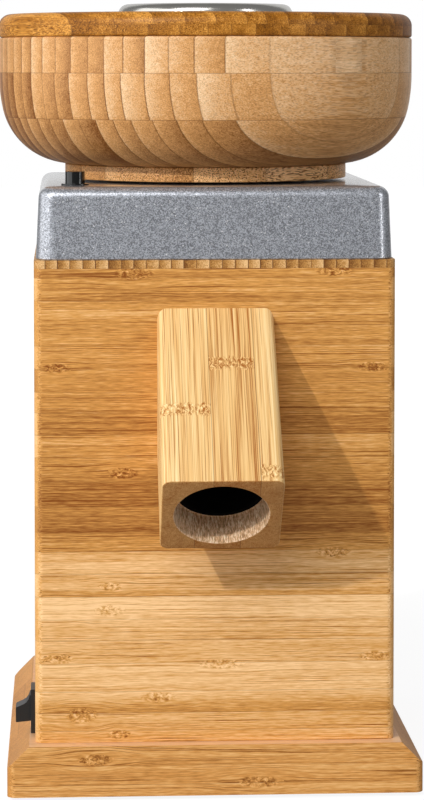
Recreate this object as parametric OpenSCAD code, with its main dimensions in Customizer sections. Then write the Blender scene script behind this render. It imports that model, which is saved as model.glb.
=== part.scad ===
// Household electric stone mill: bamboo case, cast cap, turned hopper, induction motor.
// Millimetres. Z is up, the front (spout side) faces -Y, and the grinding axis is X = 0, Y = 0.

/* [Base and feet] */
// Height of the rubber feet below the base plate
foot_h = 2; // [1:0.5:6]
// Radius of a rubber foot
foot_r = 9; // [7:0.5:12]
// Depth of the pocket that holds a foot
foot_pocket = 3; // [2:0.5:6]
// Distance of a foot's centre from the base plate's edges
foot_inset = 20; // [16:1:30]
// Width of the base plate
base_w = 190; // [184:1:205]
// Depth of the base plate
base_d = 193; // [188:1:210]
// Thickness of the base plate
base_t = 23.3; // [20:0.1:28]
// Width and height of the bevel along each side of the base plate
base_bevel = 10; // [3:0.5:11]
// Radius of the base plate's upright corners
base_corner_r = 4; // [1:0.5:8]
// Radius of an air hole in the base plate
vent_r = 4; // [2:0.5:6]
// Number of air holes
vent_count = 8; // [4:1:12]
// Radius of the circle of air holes
vent_circle_r = 32; // [20:1:36]

/* [Body] */
// Width of the body
body_w = 164.5; // [160:0.5:172]
// Depth of the body
body_d = 180; // [176:1:186]
// Height of the body
body_h = 220.6; // [205:0.1:240]
// Thickness of the panels
panel_t = 10; // [8:0.5:11]
// Radius of the body's upright edges
body_edge_r = 4; // [1:0.5:8]
// Height of the top board's lip, which shows above the panels
board_lip_t = 3.7; // [2:0.1:6]
// Full thickness of the top board
board_t = 15; // [12:0.5:18]

/* [Cap] */
// Width of the cap at its foot
cap_w = 162.7; // [158:0.1:166]
// Depth of the cap at its foot
cap_d = 178; // [172:0.5:181]
// Height of the cap
cap_h = 33.1; // [31:0.1:38]
// Wall thickness of the cap
cap_wall = 3; // [2:0.5:4]
// How far each side of the cap leans in over its height
cap_draft = 1.25; // [0:0.05:3]
// Radius of the cap's upright corners
cap_corner_r = 9; // [7:0.5:14]
// Radius of the cap's top edge
cap_edge_r = 5; // [2:0.5:6]
// Radius of the round hole in the cap's top
cap_hole_r = 54; // [53.5:0.1:56]
// Distance of the cap screws from the middle plane, across
cap_screw_x = 66; // [64:0.5:67]
// Distance of the cap screws from the middle plane, front to back
cap_screw_y = 40; // [36:1:48]

/* [Spout] */
// Width of the spout
spout_w = 53; // [50:0.5:60]
// Thickness of the spout, square to its slope
spout_t = 50; // [48:0.5:56]
// Length of the spout's upper face
spout_len = 97; // [90:1:110]
// Slope of the spout below the horizontal
spout_slope = 45; // [43:0.5:47]
// Height of the spout's upper root edge above the base plate
spout_rise = 198.7; // [190:0.1:202]
// Radius of the spout's long edges
spout_edge_r = 4; // [1:0.5:6]
// Radius of the spout's mouth
mouth_r = 21; // [20.8:0.1:22.5]
// Depth of bare wood inside the mouth, before the liner begins
mouth_depth = 14.4; // [8:0.1:20]
// Outer radius of the liner tube
liner_r = 20.4; // [19:0.1:20.5]
// Wall thickness of the liner
liner_wall = 2; // [1.5:0.1:3]

/* [Hopper] */
// Outer radius of the bowl
bowl_r = 99.6; // [97:0.1:104]
// Height of the bowl, from its underside to its rim
bowl_h = 60.2; // [56:0.1:70]
// Wall thickness of the bowl
bowl_wall = 9; // [6:0.5:11]
// Thickness of the bowl's top glued layer
top_layer_t = 16.7; // [14:0.1:20]
// Thickness of the bowl's middle glued layer
mid_layer_t = 21.2; // [18:0.1:24]
// Radius of the curve between the bowl's side and underside
bowl_turn_r = 33.4; // [30:0.1:36]
// Radius of the gentle swell of the bowl's side
bowl_swell_r = 76.9; // [60:0.1:90]
// Angle at which the swell takes over from the curve
bowl_turn_a = 12; // [8:0.5:16]
// Radius of the rounding at the bowl's rim
rim_round_r = 1.2; // [0.5:0.1:2.5]
// Radius of the collar under the bowl
collar_r = 67.9; // [65:0.1:72]
// Height of the collar
collar_h = 6.9; // [6.5:0.1:10]
// Gap between the cap and the collar at the finest setting
collar_clear = 0.15; // [0.1:0.05:0.5]
// Pitch of the hopper's thread: its rise in one full turn
thread_pitch = 2; // [1:0.1:2.4]
// Turn of the hopper from the middle setting to either stop, in degrees
hopper_turn = 170; // [90:5:170]
// Radius of the hopper's thread
thread_r = 47.95; // [47:0.05:47.99]
// Radius of the hopper ring's flange
ring_flange_r = 59.5; // [58:0.5:62]
// Thickness of the hopper ring's flange
ring_flange_t = 6; // [5:0.1:6.2]
// Radius of the hole in the bowl's floor
floor_hole_r = 41; // [38:0.5:44]
// Radius of the stop peg under the bowl
peg_r = 3; // [2:0.1:4]
// Clearance between the stop peg and the cap
peg_gap = 2.5; // [2:0.1:3.5]
// Depth of the stop peg in the bowl
peg_depth = 9; // [6:0.5:12]

/* [Lid] */
// Thickness of the lid above the bowl's rim
lid_t = 11.2; // [9:0.1:14]
// Radius of the lid's upper edge
lid_edge_r = 5.5; // [2:0.1:7]
// Gap between the lid and the bowl's rim
lid_gap = 0.1; // [0.05:0.05:0.5]
// Depth of the lid's spigot inside the bowl
lid_spigot = 4; // [3:0.5:6]
// Radius of the medallion
medallion_r = 42; // [36:0.5:48]
// Height of the medallion above the lid
medallion_h = 4.9; // [3.5:0.1:7]
// Depth of the medallion's seat in the lid
medallion_seat = 0.5; // [0.3:0.1:1.5]
// Radius of the medallion's rounded rim
medallion_rim_r = 4.4; // [2:0.1:4.8]

/* [Stop pin] */
// Distance of the stop pin and the peg inside the bowl's outer radius
peg_inset = 10.6; // [9.5:0.1:13]
// Direction of the stop pin from the middle, from the left towards the front
pin_angle = 44.6; // [43:0.1:46]
// Radius of the stop pin
pin_r = 4.55; // [3.5:0.05:5]
// Height of the stop pin above the cap
pin_h = 6.1; // [5.5:0.1:7]
// Travel of the stop pin
pin_travel = 5.5; // [3:0.1:5.9]
// Wall thickness of the pin's bushing
bushing_wall = 1.2; // [1:0.1:2]
// Length of the bushing below the cap's top
bushing_len = 23; // [20:0.5:24]

/* [Switch] */
// Distance of the switch behind the body's front face
switch_inset = 18; // [18:0.5:24]
// Height of the switch above the base plate
switch_rise = 12.3; // [11.5:0.1:20]
// Width of the switch's bezel
bezel_w = 15; // [14:0.5:16]
// Height of the switch's bezel
bezel_h = 20.4; // [20:0.1:22]
// Thickness of the switch's bezel
bezel_t = 2.1; // [1.5:0.1:2.5]
// Depth of the switch behind the panel's outer face
switch_depth = 18; // [14:0.5:22]

/* [Grinding] */
// Radius of the stones
stone_r = 42.9; // [40:0.1:43.2]
// Thickness of each stone
stone_t = 13; // [11:0.5:13.5]
// Gap between the stones at the finest setting
stone_clear = 0.1; // [0.05:0.05:0.5]
// Radius of the upper stone's feed eye
eye_r = 13; // [10:0.5:16]
// Radius of the lower stone's bore
stone_bore_r = 11; // [9.5:0.5:12]
// Inner radius of the grinding chamber
chamber_r = 48; // [48:0.1:48.2]
// Wall thickness of the grinding chamber
chamber_wall = 5; // [4:0.1:5.4]
// Floor thickness of the grinding chamber
chamber_floor_t = 4; // [3.5:0.5:5]
// Radius of the grinding chamber's flange
flange_r = 62; // [61:0.5:64]
// Thickness of the grinding chamber's flange
flange_t = 4; // [3:0.5:5]
// Width of the flour outlet
outlet_w = 30; // [20:1:32]
// Height of the flour outlet
outlet_h = 11; // [8:0.5:12]
// Number of wipers on the stone carrier
wiper_count = 4; // [2:1:6]
// Number of springs under the upper stone
spring_count = 3; // [3:1:3]

/* [Motor] */
// Radius of the motor
motor_r = 50; // [46:0.5:51]
// Length of the stator core
core_h = 60; // [50:1:62]
// Length of each end shield
shield_h = 26; // [24:0.5:28]
// Wall thickness of the end shields
shield_wall = 8; // [7:0.5:9]
// Radius of the rotor
rotor_r = 28.6; // [26:0.1:30]
// Air gap between rotor and stator
air_gap = 0.4; // [0.3:0.05:0.8]
// Radius of the shaft in its bearings
shaft_r = 7.5; // [6.5:0.1:8.5]
// Radius of the shaft's stem in the stone carrier
stem_r = 6; // [5:0.1:6.2]
// Outer radius of the ball bearings
bearing_r = 17.5; // [16:0.5:19]
// Width of the ball bearings
bearing_w = 11; // [9:0.5:12]
// Radius of the cooling fan
fan_r = 42; // [30:1:46]
// Height of the cooling fan
fan_h = 16; // [10:0.5:18]
// Number of fan blades
blade_count = 8; // [5:1:12]
// Radius of the motor's tie bolts
tie_r = 2.5; // [2:0.1:3]
// Radius of the run capacitor
capacitor_r = 17.5; // [14:0.5:19]
// Length of the run capacitor
capacitor_h = 62; // [45:1:66]

/* [Cord entry] */
// Distance of the cord entry left of the middle
entry_x = 40; // [30:1:50]
// Height of the cord entry above the base plate
entry_rise = 20; // [16:1:40]
// Radius of the cord entry's bore
entry_r = 4; // [3:0.1:4.5]
// Outer radius of the gland in the panel
gland_r = 7; // [6:0.1:8]

/* [Fits] */
// Running clearance on the radius of pins and shafts
run_gap = 0.05; // [0.02:0.01:0.1]
// Clearance on the radius of fixed parts
fit_gap = 0.1; // [0.05:0.01:0.2]
// Clearance where one part is lifted or slides past another
slide_gap = 0.4; // [0.3:0.05:0.6]
// Shank radius of the wood screws
screw_r = 2; // [1.5:0.1:2.2]

/* [Hidden] */
$fn = 96;
hull_fn = 32;
lead_fn = 16;
eps = 0.01;
far = 400;

// Rise of the hopper from the middle setting to either stop
half_lift = thread_pitch * hopper_turn / 360;
collar_gap = half_lift + collar_clear;
stone_gap = half_lift + stone_clear;

// Heights of the case
base_z = foot_h;
body_z = base_z + base_t;
cap_z = body_z + body_h;
cap_top = cap_z + cap_h;
lip_z = cap_z - board_lip_t;
board_z = cap_z - board_t;

// Heights of the grinding parts
floor_z = board_z + chamber_floor_t;
carrier_gap = 1.1;
carrier_t = 3.5;
carrier_z = floor_z + carrier_gap;
wiper_reach = 3;
wiper_len = 9;
wiper_w = 3;
lower_stone_z = carrier_z + carrier_t;
lower_stone_top = lower_stone_z + stone_t;
upper_stone_z = lower_stone_top + stone_gap;
upper_stone_top = upper_stone_z + stone_t;
holder_top_t = 2;
holder_top = upper_stone_top + holder_top_t;
holder_wall_h = 13.5;
holder_r = thread_r - 0.35;
chamber_top = cap_top - 1.5;

// Lugs of the stone holder and the springs under them
lug_w = 8;
lug_t = 6;
lug_drop = 9.5;
lug_z = holder_top - lug_drop;
lug_r = 54.5;
lug_in = stone_r - 3;
lug_out = lug_r + lug_w / 2;
spring_boss_r = 6.5;
spring_pocket_r = 4.4;
spring_floor = 1;
spring_z = cap_z + spring_floor;
spring_boss_h = lug_z - cap_z - 2;
spring_turn_r = 3.2;
spring_wire_r = 0.4;
spring_turns = 5;
lug_angles = [for (i = [0:spring_count - 1]) 90 + i * 360 / spring_count];

// Heights of the hopper
collar_z = cap_top + collar_gap;
bowl_z = collar_z + collar_h;
rim_z = bowl_z + bowl_h;
lid_z = rim_z + lid_gap;
lid_top = lid_z + lid_t - lid_gap;
dish_depth = 0.8;
bowl_floor_z = bowl_z + bowl_wall;
top_joint_z = rim_z - top_layer_t;
mid_joint_z = top_joint_z - mid_layer_t;
funnel_top_r = floor_hole_r - 2.5;
funnel_foot_r = eye_r + 1;
funnel_z = holder_top + 3.5;
funnel_wall = 2.5;
ring_wall = 5;
ring_screw_r = 1.5;
ring_screw_circle = (thread_r + ring_flange_r) / 2;
ring_screw_count = 4;
ring_screw_len = 9.5;
ring_head_r = 3;
ring_head_t = 2.2;

// Bowl outline: a turn arc and a swell arc that share a tangent
turn_cr = bowl_r - bowl_swell_r + (bowl_swell_r - bowl_turn_r) * cos(bowl_turn_a);
turn_cz = bowl_z + bowl_turn_r;
swell_cr = turn_cr - (bowl_swell_r - bowl_turn_r) * cos(bowl_turn_a);
swell_cz = turn_cz + (bowl_swell_r - bowl_turn_r) * sin(bowl_turn_a);

// Stop pin and peg
pin_circle_r = bowl_r - peg_inset;
pin_x = pin_circle_r * cos(pin_angle);
pin_y = pin_circle_r * sin(pin_angle);
peg_z = cap_top + peg_gap;
peg_top = turn_cz - sqrt(pow(bowl_turn_r, 2) - pow(pin_circle_r - turn_cr, 2)) + peg_depth;
bushing_r = pin_r + run_gap + bushing_wall;
bushing_z = cap_top - bushing_len;
bushing_floor = 2;
bushing_flange_r = bushing_r + 0.6;
bushing_flange_t = 0.6;
pin_stem_r = 2;
pin_spring_r = 3.2;
pin_wire_r = 0.35;
pin_spring_turns = 8;
pin_spring_spare = 2.9;
pin_body_z = bushing_z + bushing_floor + 2 * pin_wire_r * pin_spring_turns + pin_travel + pin_spring_spare;
clip_r = 4;
clip_t = 1;
clip_z = bushing_z - 0.5 - clip_t;

// Spout frame: the centre of its end face, and its axis where it meets the front of the body
front_y = -body_d / 2;
panel_y = body_d / 2 - panel_t;
spout_z = body_z + spout_rise;
end_y = front_y - spout_len * cos(spout_slope) + spout_t / 2 * sin(spout_slope);
end_z = spout_z - spout_len * sin(spout_slope) - spout_t / 2 * cos(spout_slope);
neck_w = outlet_w + 9;
neck_y = -(chamber_r + chamber_wall + 7);
chute_len = (neck_y - end_y) / cos(spout_slope) + 2 * liner_r * tan(spout_slope);
hood_gap = 6;
hood_len = body_d / 2 - panel_t + neck_y - hood_gap;
hood_wall = 4;
hood_drop = 32;
hood_top = floor_z + outlet_h + hood_wall;
hood_foot = hood_top - hood_drop;

// Switch
switch_y = body_d / 2 - switch_inset;
switch_z = body_z + switch_rise;
side_x = body_w / 2;
cut_w = bezel_w - 2;
cut_h = bezel_h - 1.8;
cavity_w = cut_w - 2;
cavity_h = cut_h - 2.6;
cavity_depth = 8.8;
pivot_in = 0.75;
tail_len = 7;
tail_gap = 5;
pivot_x = -side_x + pivot_in;
trunnion_r = 1.2;

// Motor
core_top = board_z - shield_h;
core_z = core_top - core_h;
motor_z = core_z - shield_h;
stator_bore_r = rotor_r + air_gap;
shield_bore_r = motor_r - shield_wall;
shield_end_t = 6;
shield_vents = 4;
shield_vent_r = 4;
tie_bolt_count = 4;
tie_bite = 2.8;
bearing_inset = 2;
bearing_boss_r = bearing_r + 4;
winding_in = stator_bore_r + 2.5;
winding_out = shield_bore_r - 1;
winding_h = 13;
slot_r = 3;
slot_count = 12;
slot_circle_r = (winding_in + winding_out) / 2;
tie_circle_r = motor_r - 5;
tie_head_r = 4.5;
tie_head_t = 3;
fan_gap = 4;
fan_z = motor_z - fan_gap - fan_h;
shaft_z = fan_z - 2;

// Clamp of the lower stone
clamp_recess_r = stone_bore_r + 4.5;
clamp_recess = 6;
washer_t = 1.5;
nut_t = 3.5;
nut_r = 8.5;
seal_r = 11;
seal_bore_r = 9;
seal_t = 2;

// Electrical parts on the base plate
capacitor_x = 40;
capacitor_y = 42;
clamp_wall = 1.5;
clamp_band_h = 14;
clamp_foot = 14;
block_x = -40;
block_y = 40;
block_w = 26;
block_d = 18;
block_h = 14;
block_pitch = 8;
block_bore_rise = 6;
entry_z = body_z + entry_rise;
lead_r = 1.3;
gland_flange_r = gland_r + 3;
gland_flange_t = 2.5;
gland_nut_t = 5;
gland_len = panel_t + gland_flange_t + gland_nut_t + 1;

// Screws
foot_screw_len = 10;
foot_head_r = 3.4;
base_screw_y = [-55, 0, 55];
base_screw_bite = 20;
screw_head_r = 4;
screw_head_t = 2.5;
head_pocket = 6;
chamber_screw_angles = [45, 135, 238, 302];
chamber_screw_circle = flange_r - 4;
chamber_screw_bite = 9;
chamber_head_r = 3.6;
chamber_head_t = 2;
cap_boss_r = 5;
cap_boss_h = cap_h - cap_wall;
cap_screw_bite = 18;

// ---- shared shapes ----

// Rectangle with true round corners, centred
module rounded_rect(w, d, r) {
  square([w - 2 * r, d], center = true);
  square([w, d - 2 * r], center = true);
  for (sx = [-1, 1], sy = [-1, 1])
    translate([sx * (w / 2 - r), sy * (d / 2 - r)]) circle(r);
}

// Box that is centred in X and Y and stands on z
module block(w, d, h, x = 0, y = 0, z = 0) {
  translate([x - w / 2, y - d / 2, z]) cube([w, d, h]);
}

// Upright cylinder from z with height h
module rod(r, h, z = 0) {
  translate([0, 0, z]) cylinder(r = r, h = h);
}

// Upright ring from z with height h
module ring(r_out, r_in, h, z = 0) {
  difference() {
    rod(r_out, h, z);
    rod(r_in, h + 2, z - 1);
  }
}

// Children repeated at four places, mirrored in X and Y
module four_places(x, y) {
  for (sx = [-1, 1], sy = [-1, 1]) translate([sx * x, sy * y, 0]) children();
}

// Children repeated at angles round the Z axis, at radius r
module around(angles, r) {
  for (a = angles) rotate(a) translate([r, 0, 0]) children();
}

// Evenly spaced angles
function spread(count, start = 0) = [for (i = [0:count - 1]) start + i * 360 / count];

// Children in the spout's frame: +Z leaves along the spout, +Y is square to its upper face
module spout_frame() {
  translate([0, end_y, end_z]) rotate([90 + spout_slope, 0, 0]) children();
}

// Cylinder along the spout, from depth (inside the end face) for len towards the body
module spout_rod(r, depth, len) {
  spout_frame() translate([0, 0, -depth - len]) cylinder(r = r, h = len);
}

// Points of a helix with straight closed ends
function helix(r, h, turns, steps) =
  [for (i = [0:turns * steps]) let (a = 360 * i / steps)
    [r * cos(a), r * sin(a), h * i / (turns * steps)]];

// Tube of round section swept along a helix that climbs in Z
module coil(r, wire, h, turns) {
  steps = 10;
  sides = 6;
  climb = h - 2 * wire;
  lean = atan2(climb / turns, 2 * PI * r);
  path = helix(r, climb, turns, steps);
  rings = [for (i = [0:len(path) - 1]) let (a = 360 * i / steps)
    for (k = [0:sides - 1]) let (t = 360 * k / sides, u = wire * cos(t), v = wire * sin(t))
      path[i] + [u * cos(a) + v * sin(lean) * sin(a), u * sin(a) - v * sin(lean) * cos(a),
        v * cos(lean) + wire]];
  last = len(path) - 1;
  walls = [for (i = [0:last - 1], k = [0:sides - 1]) let (n = (k + 1) % sides)
    for (tri = [[i * sides + k, (i + 1) * sides + n, i * sides + n],
      [i * sides + k, (i + 1) * sides + k, (i + 1) * sides + n]]) tri];
  ends = [for (k = [1:sides - 2]) for (tri = [[0, k, k + 1],
    [last * sides, last * sides + k + 1, last * sides + k]]) tri];
  echo(str("coil gap ", climb / turns - 2 * wire));
  polyhedron(points = rings, faces = concat(walls, ends), convexity = 8);
}

// Screw that stands on z with its head below: shank up, head down
module screw_up(r, len, head_r, head_t, z) {
  rod(r, len, z);
  rod(head_r, head_t, z - head_t);
}

// ---- base ----

module base_profile() {
  polygon([[-base_w / 2, base_z], [base_w / 2, base_z],
    [base_w / 2, body_z - base_bevel], [base_w / 2 - base_bevel, body_z],
    [base_bevel - base_w / 2, body_z], [-base_w / 2, body_z - base_bevel]]);
}

module foot_places() {
  four_places(base_w / 2 - foot_inset, base_d / 2 - foot_inset) children();
}

module base_screw_places() {
  for (sx = [-1, 1], y = base_screw_y)
    translate([sx * (side_x - panel_t / 2), y, 0]) children();
}

module base_plate() {
  color("burlywood") difference() {
    intersection() {
      translate([0, 0, base_z]) linear_extrude(base_t)
        rounded_rect(base_w, base_d, base_corner_r);
      rotate([90, 0, 0]) linear_extrude(base_d + 2, center = true) base_profile();
    }
    foot_places() {
      rod(foot_r + fit_gap, foot_pocket + 1, base_z - 1);
      rod(screw_r + fit_gap, foot_h + foot_screw_len + 1 - base_z, base_z);
    }
    base_screw_places() {
      rod(screw_head_r + fit_gap, head_pocket + 1, base_z - 1);
      rod(screw_r + fit_gap, base_t + 2, base_z - 1);
    }
    around(spread(vent_count), vent_circle_r) rod(vent_r, base_t + 2, base_z - 1);
  }
}

module rubber_feet() {
  color("dimgray") foot_places() difference() {
    rod(foot_r, foot_h + foot_pocket);
    rod(foot_head_r + 0.2, foot_h + 1, -1);
    rod(screw_r + fit_gap, far, -1);
  }
}

module foot_screws() {
  color("silver") foot_places()
    screw_up(screw_r, foot_screw_len, foot_head_r, foot_h * 0.75, foot_h);
}

module base_screws() {
  color("silver") base_screw_places()
    screw_up(screw_r, base_t - head_pocket + base_screw_bite, screw_head_r, screw_head_t,
      base_z + head_pocket);
}

// ---- body ----

module body_prism(z, h) {
  translate([0, 0, z]) linear_extrude(h) rounded_rect(body_w, body_d, body_edge_r);
}

module front_panel() {
  color("burlywood") difference() {
    body_prism(body_z, lip_z - body_z);
    block(body_w + 2, body_d, far, 0, panel_t, 0);
    spout_rod(liner_r + slide_gap, 0, chute_len);
  }
}

module back_panel() {
  color("burlywood") difference() {
    body_prism(body_z, lip_z - body_z);
    block(body_w + 2, body_d, far, 0, -panel_t, 0);
    translate([-entry_x, panel_y, entry_z]) rotate([-90, 0, 0]) rod(gland_r + fit_gap, panel_t + 2, -1);
  }
}

module side_panel() {
  difference() {
    block(panel_t, body_d - 2 * panel_t, lip_z - body_z, side_x - panel_t / 2, 0, body_z);
    base_screw_places() rod(screw_r + fit_gap, base_screw_bite + 1, body_z - 1 + eps);
  }
}

module left_panel() {
  color("burlywood") difference() {
    mirror([1, 0, 0]) side_panel();
    translate([-side_x, -switch_y, switch_z])
      cube([3 * panel_t, cut_w + 2 * fit_gap, cut_h + 2 * fit_gap], center = true);
  }
}

module right_panel() {
  color("burlywood") side_panel();
}

module top_board() {
  plug_w = body_w - 2 * panel_t - 2 * fit_gap;
  plug_d = body_d - 2 * panel_t - 2 * fit_gap;
  hole_r = chamber_r + chamber_wall + fit_gap;
  color("tan") difference() {
    union() {
      body_prism(lip_z, board_lip_t);
      block(plug_w, plug_d, board_t - board_lip_t + eps, 0, 0, board_z);
    }
    rod(hole_r, board_t + 2, board_z - 1);
    translate([-neck_w / 2 - slide_gap, -plug_d / 2 - 1, board_z - 1])
      cube([neck_w + 2 * slide_gap, plug_d / 2, board_t - board_lip_t + 1]);
    translate([-neck_w / 2 - slide_gap, neck_y - hood_len - slide_gap, board_z - 1])
      cube([neck_w + 2 * slide_gap, hood_len + slide_gap + 20, board_t + 2]);
    four_places(cap_screw_x, cap_screw_y) rod(screw_r + fit_gap, board_t + 2, board_z - 1);
    around(chamber_screw_angles, chamber_screw_circle)
      rod(screw_r + fit_gap, chamber_screw_bite + 2, cap_z - chamber_screw_bite - 1);
  }
}

// ---- cap ----

// One corner of the cap: leaning side, round top edge
module cap_corner(r, h, edge_r) {
  rotate_extrude($fn = hull_fn) {
    square([r, eps]);
    square([r - cap_draft - edge_r, h]);
    translate([r - cap_draft - edge_r, h - edge_r]) intersection() {
      circle(edge_r, $fn = hull_fn);
      square(edge_r);
    }
  }
}

module cap_shell(inset, h) {
  r = cap_corner_r - inset;
  hull() four_places(cap_w / 2 - cap_corner_r, cap_d / 2 - cap_corner_r)
    cap_corner(r, h, cap_edge_r - inset / 2);
}

module pin_place() {
  translate([-pin_x, -pin_y, 0]) children();
}

module top_cap() {
  color("silver") difference() {
    union() {
      difference() {
        translate([0, 0, cap_z]) cap_shell(0, cap_h);
        translate([0, 0, cap_z - eps]) cap_shell(cap_wall, cap_h - cap_wall);
      }
      four_places(cap_screw_x, cap_screw_y) rod(cap_boss_r, cap_boss_h + 1, cap_z);
    }
    rod(cap_hole_r, far, cap_z);
    pin_place() rod(bushing_r + fit_gap, far, cap_z);
    four_places(cap_screw_x, cap_screw_y) rod(screw_r + fit_gap, cap_screw_bite + 1, cap_z - 1);
  }
}

module cap_screws() {
  color("silver") four_places(cap_screw_x, cap_screw_y)
    screw_up(screw_r, board_t + cap_screw_bite - 1, screw_head_r, screw_head_t, board_z);
}

// ---- spout ----

module spout() {
  color("wheat") difference() {
    spout_frame() translate([0, 0, -spout_len - spout_t]) linear_extrude(spout_len + spout_t)
      rounded_rect(spout_w, spout_t, spout_edge_r);
    translate([-far / 2, front_y, 0]) cube(far);
    spout_rod(mouth_r, -1, mouth_depth + 1);
    spout_rod(liner_r + fit_gap, 0, chute_len);
  }
}

module chute_liner() {
  wall_w = neck_w - outlet_w;
  color("black") difference() {
    union() {
      spout_rod(liner_r, mouth_depth, chute_len - mouth_depth);
      block(neck_w, hood_len, hood_top - hood_foot, 0, neck_y - hood_len / 2, hood_foot);
    }
    translate([-far / 2, neck_y, 0]) cube(far);
    difference() {
      union() {
        spout_rod(liner_r - liner_wall, 0, chute_len);
        block(outlet_w, hood_len - wall_w / 2, floor_z + outlet_h - hood_foot,
          0, neck_y - hood_len / 2, hood_foot);
      }
      translate([-far / 2, neck_y - liner_wall, 0]) cube(far);
    }
    block(outlet_w, 2 * liner_wall + 2, outlet_h, 0, neck_y, floor_z);
  }
}

// ---- grinding ----

module spring_places() {
  around(lug_angles, lug_r) children();
}

module grinding_chamber() {
  wall_r = chamber_r + chamber_wall;
  color("darkgray") difference() {
    union() {
      rod(wall_r, chamber_top - board_z, board_z);
      rod(flange_r, flange_t, cap_z);
      spring_places() rod(spring_boss_r, spring_boss_h, cap_z);
      block(neck_w, -neck_y, hood_top - board_z, 0, neck_y / 2, board_z);
    }
    rod(chamber_r, far, floor_z);
    rod(seal_bore_r, far, board_z - 1);
    rod(seal_r + fit_gap, far, floor_z - seal_t);
    block(outlet_w, far, outlet_h, 0, -far / 2, floor_z);
    translate([-far / 2, neck_y - far, 0]) cube(far);
    around(spread(tie_bolt_count, 45), tie_circle_r) rod(tie_r + fit_gap, tie_bite + 1.2, board_z - 1);
    around(chamber_screw_angles, chamber_screw_circle) rod(screw_r + fit_gap, far, cap_z - 1);
    spring_places() rod(spring_pocket_r, far, spring_z);
    around(lug_angles, lug_r - spring_boss_r)
      block(4 * chamber_wall, lug_w + 2 * slide_gap, far, 0, 0, lug_z - 2);
  }
}

module chamber_screws() {
  color("silver") around(chamber_screw_angles, chamber_screw_circle) {
    rod(screw_r, chamber_screw_bite + flange_t, cap_z - chamber_screw_bite);
    rod(chamber_head_r, chamber_head_t, cap_z + flange_t);
  }
}

module shaft_seal() {
  color("dimgray") ring(seal_r, stem_r + run_gap, seal_t, floor_z - seal_t);
}

module stone_carrier() {
  hub_r = stone_bore_r - fit_gap;
  color("darkgray") difference() {
    union() {
      rod(stone_r, carrier_t, carrier_z);
      rod(hub_r, stone_t - clamp_recess, lower_stone_z);
      for (a = spread(wiper_count, 45)) rotate(a)
        translate([stone_r + wiper_reach - wiper_len, -wiper_w / 2, carrier_z])
          cube([wiper_len, wiper_w, carrier_t + 4]);
    }
    translate([0, 0, lower_stone_z]) ring(stone_r + 5, hub_r, far);
    rod(stem_r + fit_gap, far, carrier_z - 1);
  }
}

module lower_stone() {
  color("antiquewhite") difference() {
    rod(stone_r, stone_t, lower_stone_z);
    rod(stone_bore_r, far, lower_stone_z - 1);
    rod(clamp_recess_r, far, lower_stone_top - clamp_recess);
  }
}

module clamp_washer() {
  color("silver")
    ring(clamp_recess_r - slide_gap, stem_r + fit_gap, washer_t, lower_stone_top - clamp_recess);
}

module clamp_nut() {
  color("silver") difference() {
    translate([0, 0, lower_stone_top - clamp_recess + washer_t]) cylinder(r = nut_r, h = nut_t, $fn = 6);
    rod(stem_r + fit_gap, far, lower_stone_z);
  }
}

module upper_stone() {
  color("antiquewhite") ring(stone_r, eye_r, stone_t, upper_stone_z);
}

module stone_holder() {
  color("darkgray") difference() {
    union() {
      rod(holder_r, holder_wall_h, holder_top - holder_wall_h);
      for (a = lug_angles) rotate(a)
        block(lug_out - lug_in, lug_w, lug_t, (lug_out + lug_in) / 2, 0, lug_z);
    }
    rod(stone_r + fit_gap, holder_wall_h, upper_stone_top - holder_wall_h);
    rod(funnel_foot_r, far, lower_stone_z);
  }
}

module stone_springs() {
  color("silver") spring_places() translate([0, 0, spring_z])
    coil(spring_turn_r, spring_wire_r, lug_z - spring_z, spring_turns);
}

// ---- hopper ----

// Half section of the bowl's outside, moved in by inset
module bowl_section(inset) {
  turn_r = bowl_turn_r - inset;
  join_z = turn_cz - turn_r * sin(bowl_turn_a);
  floor_top = bowl_z + inset;
  intersection() {
    translate([turn_cr, turn_cz]) circle(turn_r);
    translate([turn_cr - eps, floor_top]) square([turn_r + 1, join_z - floor_top + eps]);
  }
  intersection() {
    translate([swell_cr, swell_cz]) circle(bowl_swell_r - inset);
    translate([0, join_z]) square([bowl_r, swell_cz - join_z + eps]);
  }
  translate([0, floor_top]) square([turn_cr, join_z - floor_top + eps]);
  translate([0, swell_cz]) square([bowl_r - inset, rim_z - rim_round_r - swell_cz]);
}

// One glued layer of the bowl, from z0 to z1
module bowl_layer(z0, z1) {
  color("peru") rotate_extrude() intersection() {
    difference() {
      union() {
        bowl_section(0);
        translate([0, swell_cz]) square([bowl_r - rim_round_r, rim_z - swell_cz]);
        translate([bowl_r - rim_round_r, rim_z - rim_round_r]) circle(rim_round_r);
      }
      bowl_section(bowl_wall);
      translate([0, swell_cz]) square([bowl_r - bowl_wall, far]);
      square([floor_hole_r, far]);
    }
    translate([0, z0]) square([bowl_r + 1, z1 - z0]);
  }
}

module bowl_top_layer() {
  bowl_layer(top_joint_z, rim_z);
}

module bowl_middle_layer() {
  bowl_layer(mid_joint_z, top_joint_z);
}

module bowl_bottom_layer() {
  difference() {
    bowl_layer(bowl_z, mid_joint_z);
    around(spread(ring_screw_count, 45), ring_screw_circle)
      rod(ring_screw_r + fit_gap, bowl_wall - 2.5, bowl_z - eps);
    rotate(pin_angle) translate([pin_circle_r, 0, 0]) rod(peg_r + fit_gap, peg_top - peg_z + fit_gap, peg_z);
  }
}

module hopper_collar() {
  color("peru") ring(collar_r, ring_flange_r + fit_gap, collar_h, collar_z);
}

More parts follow.
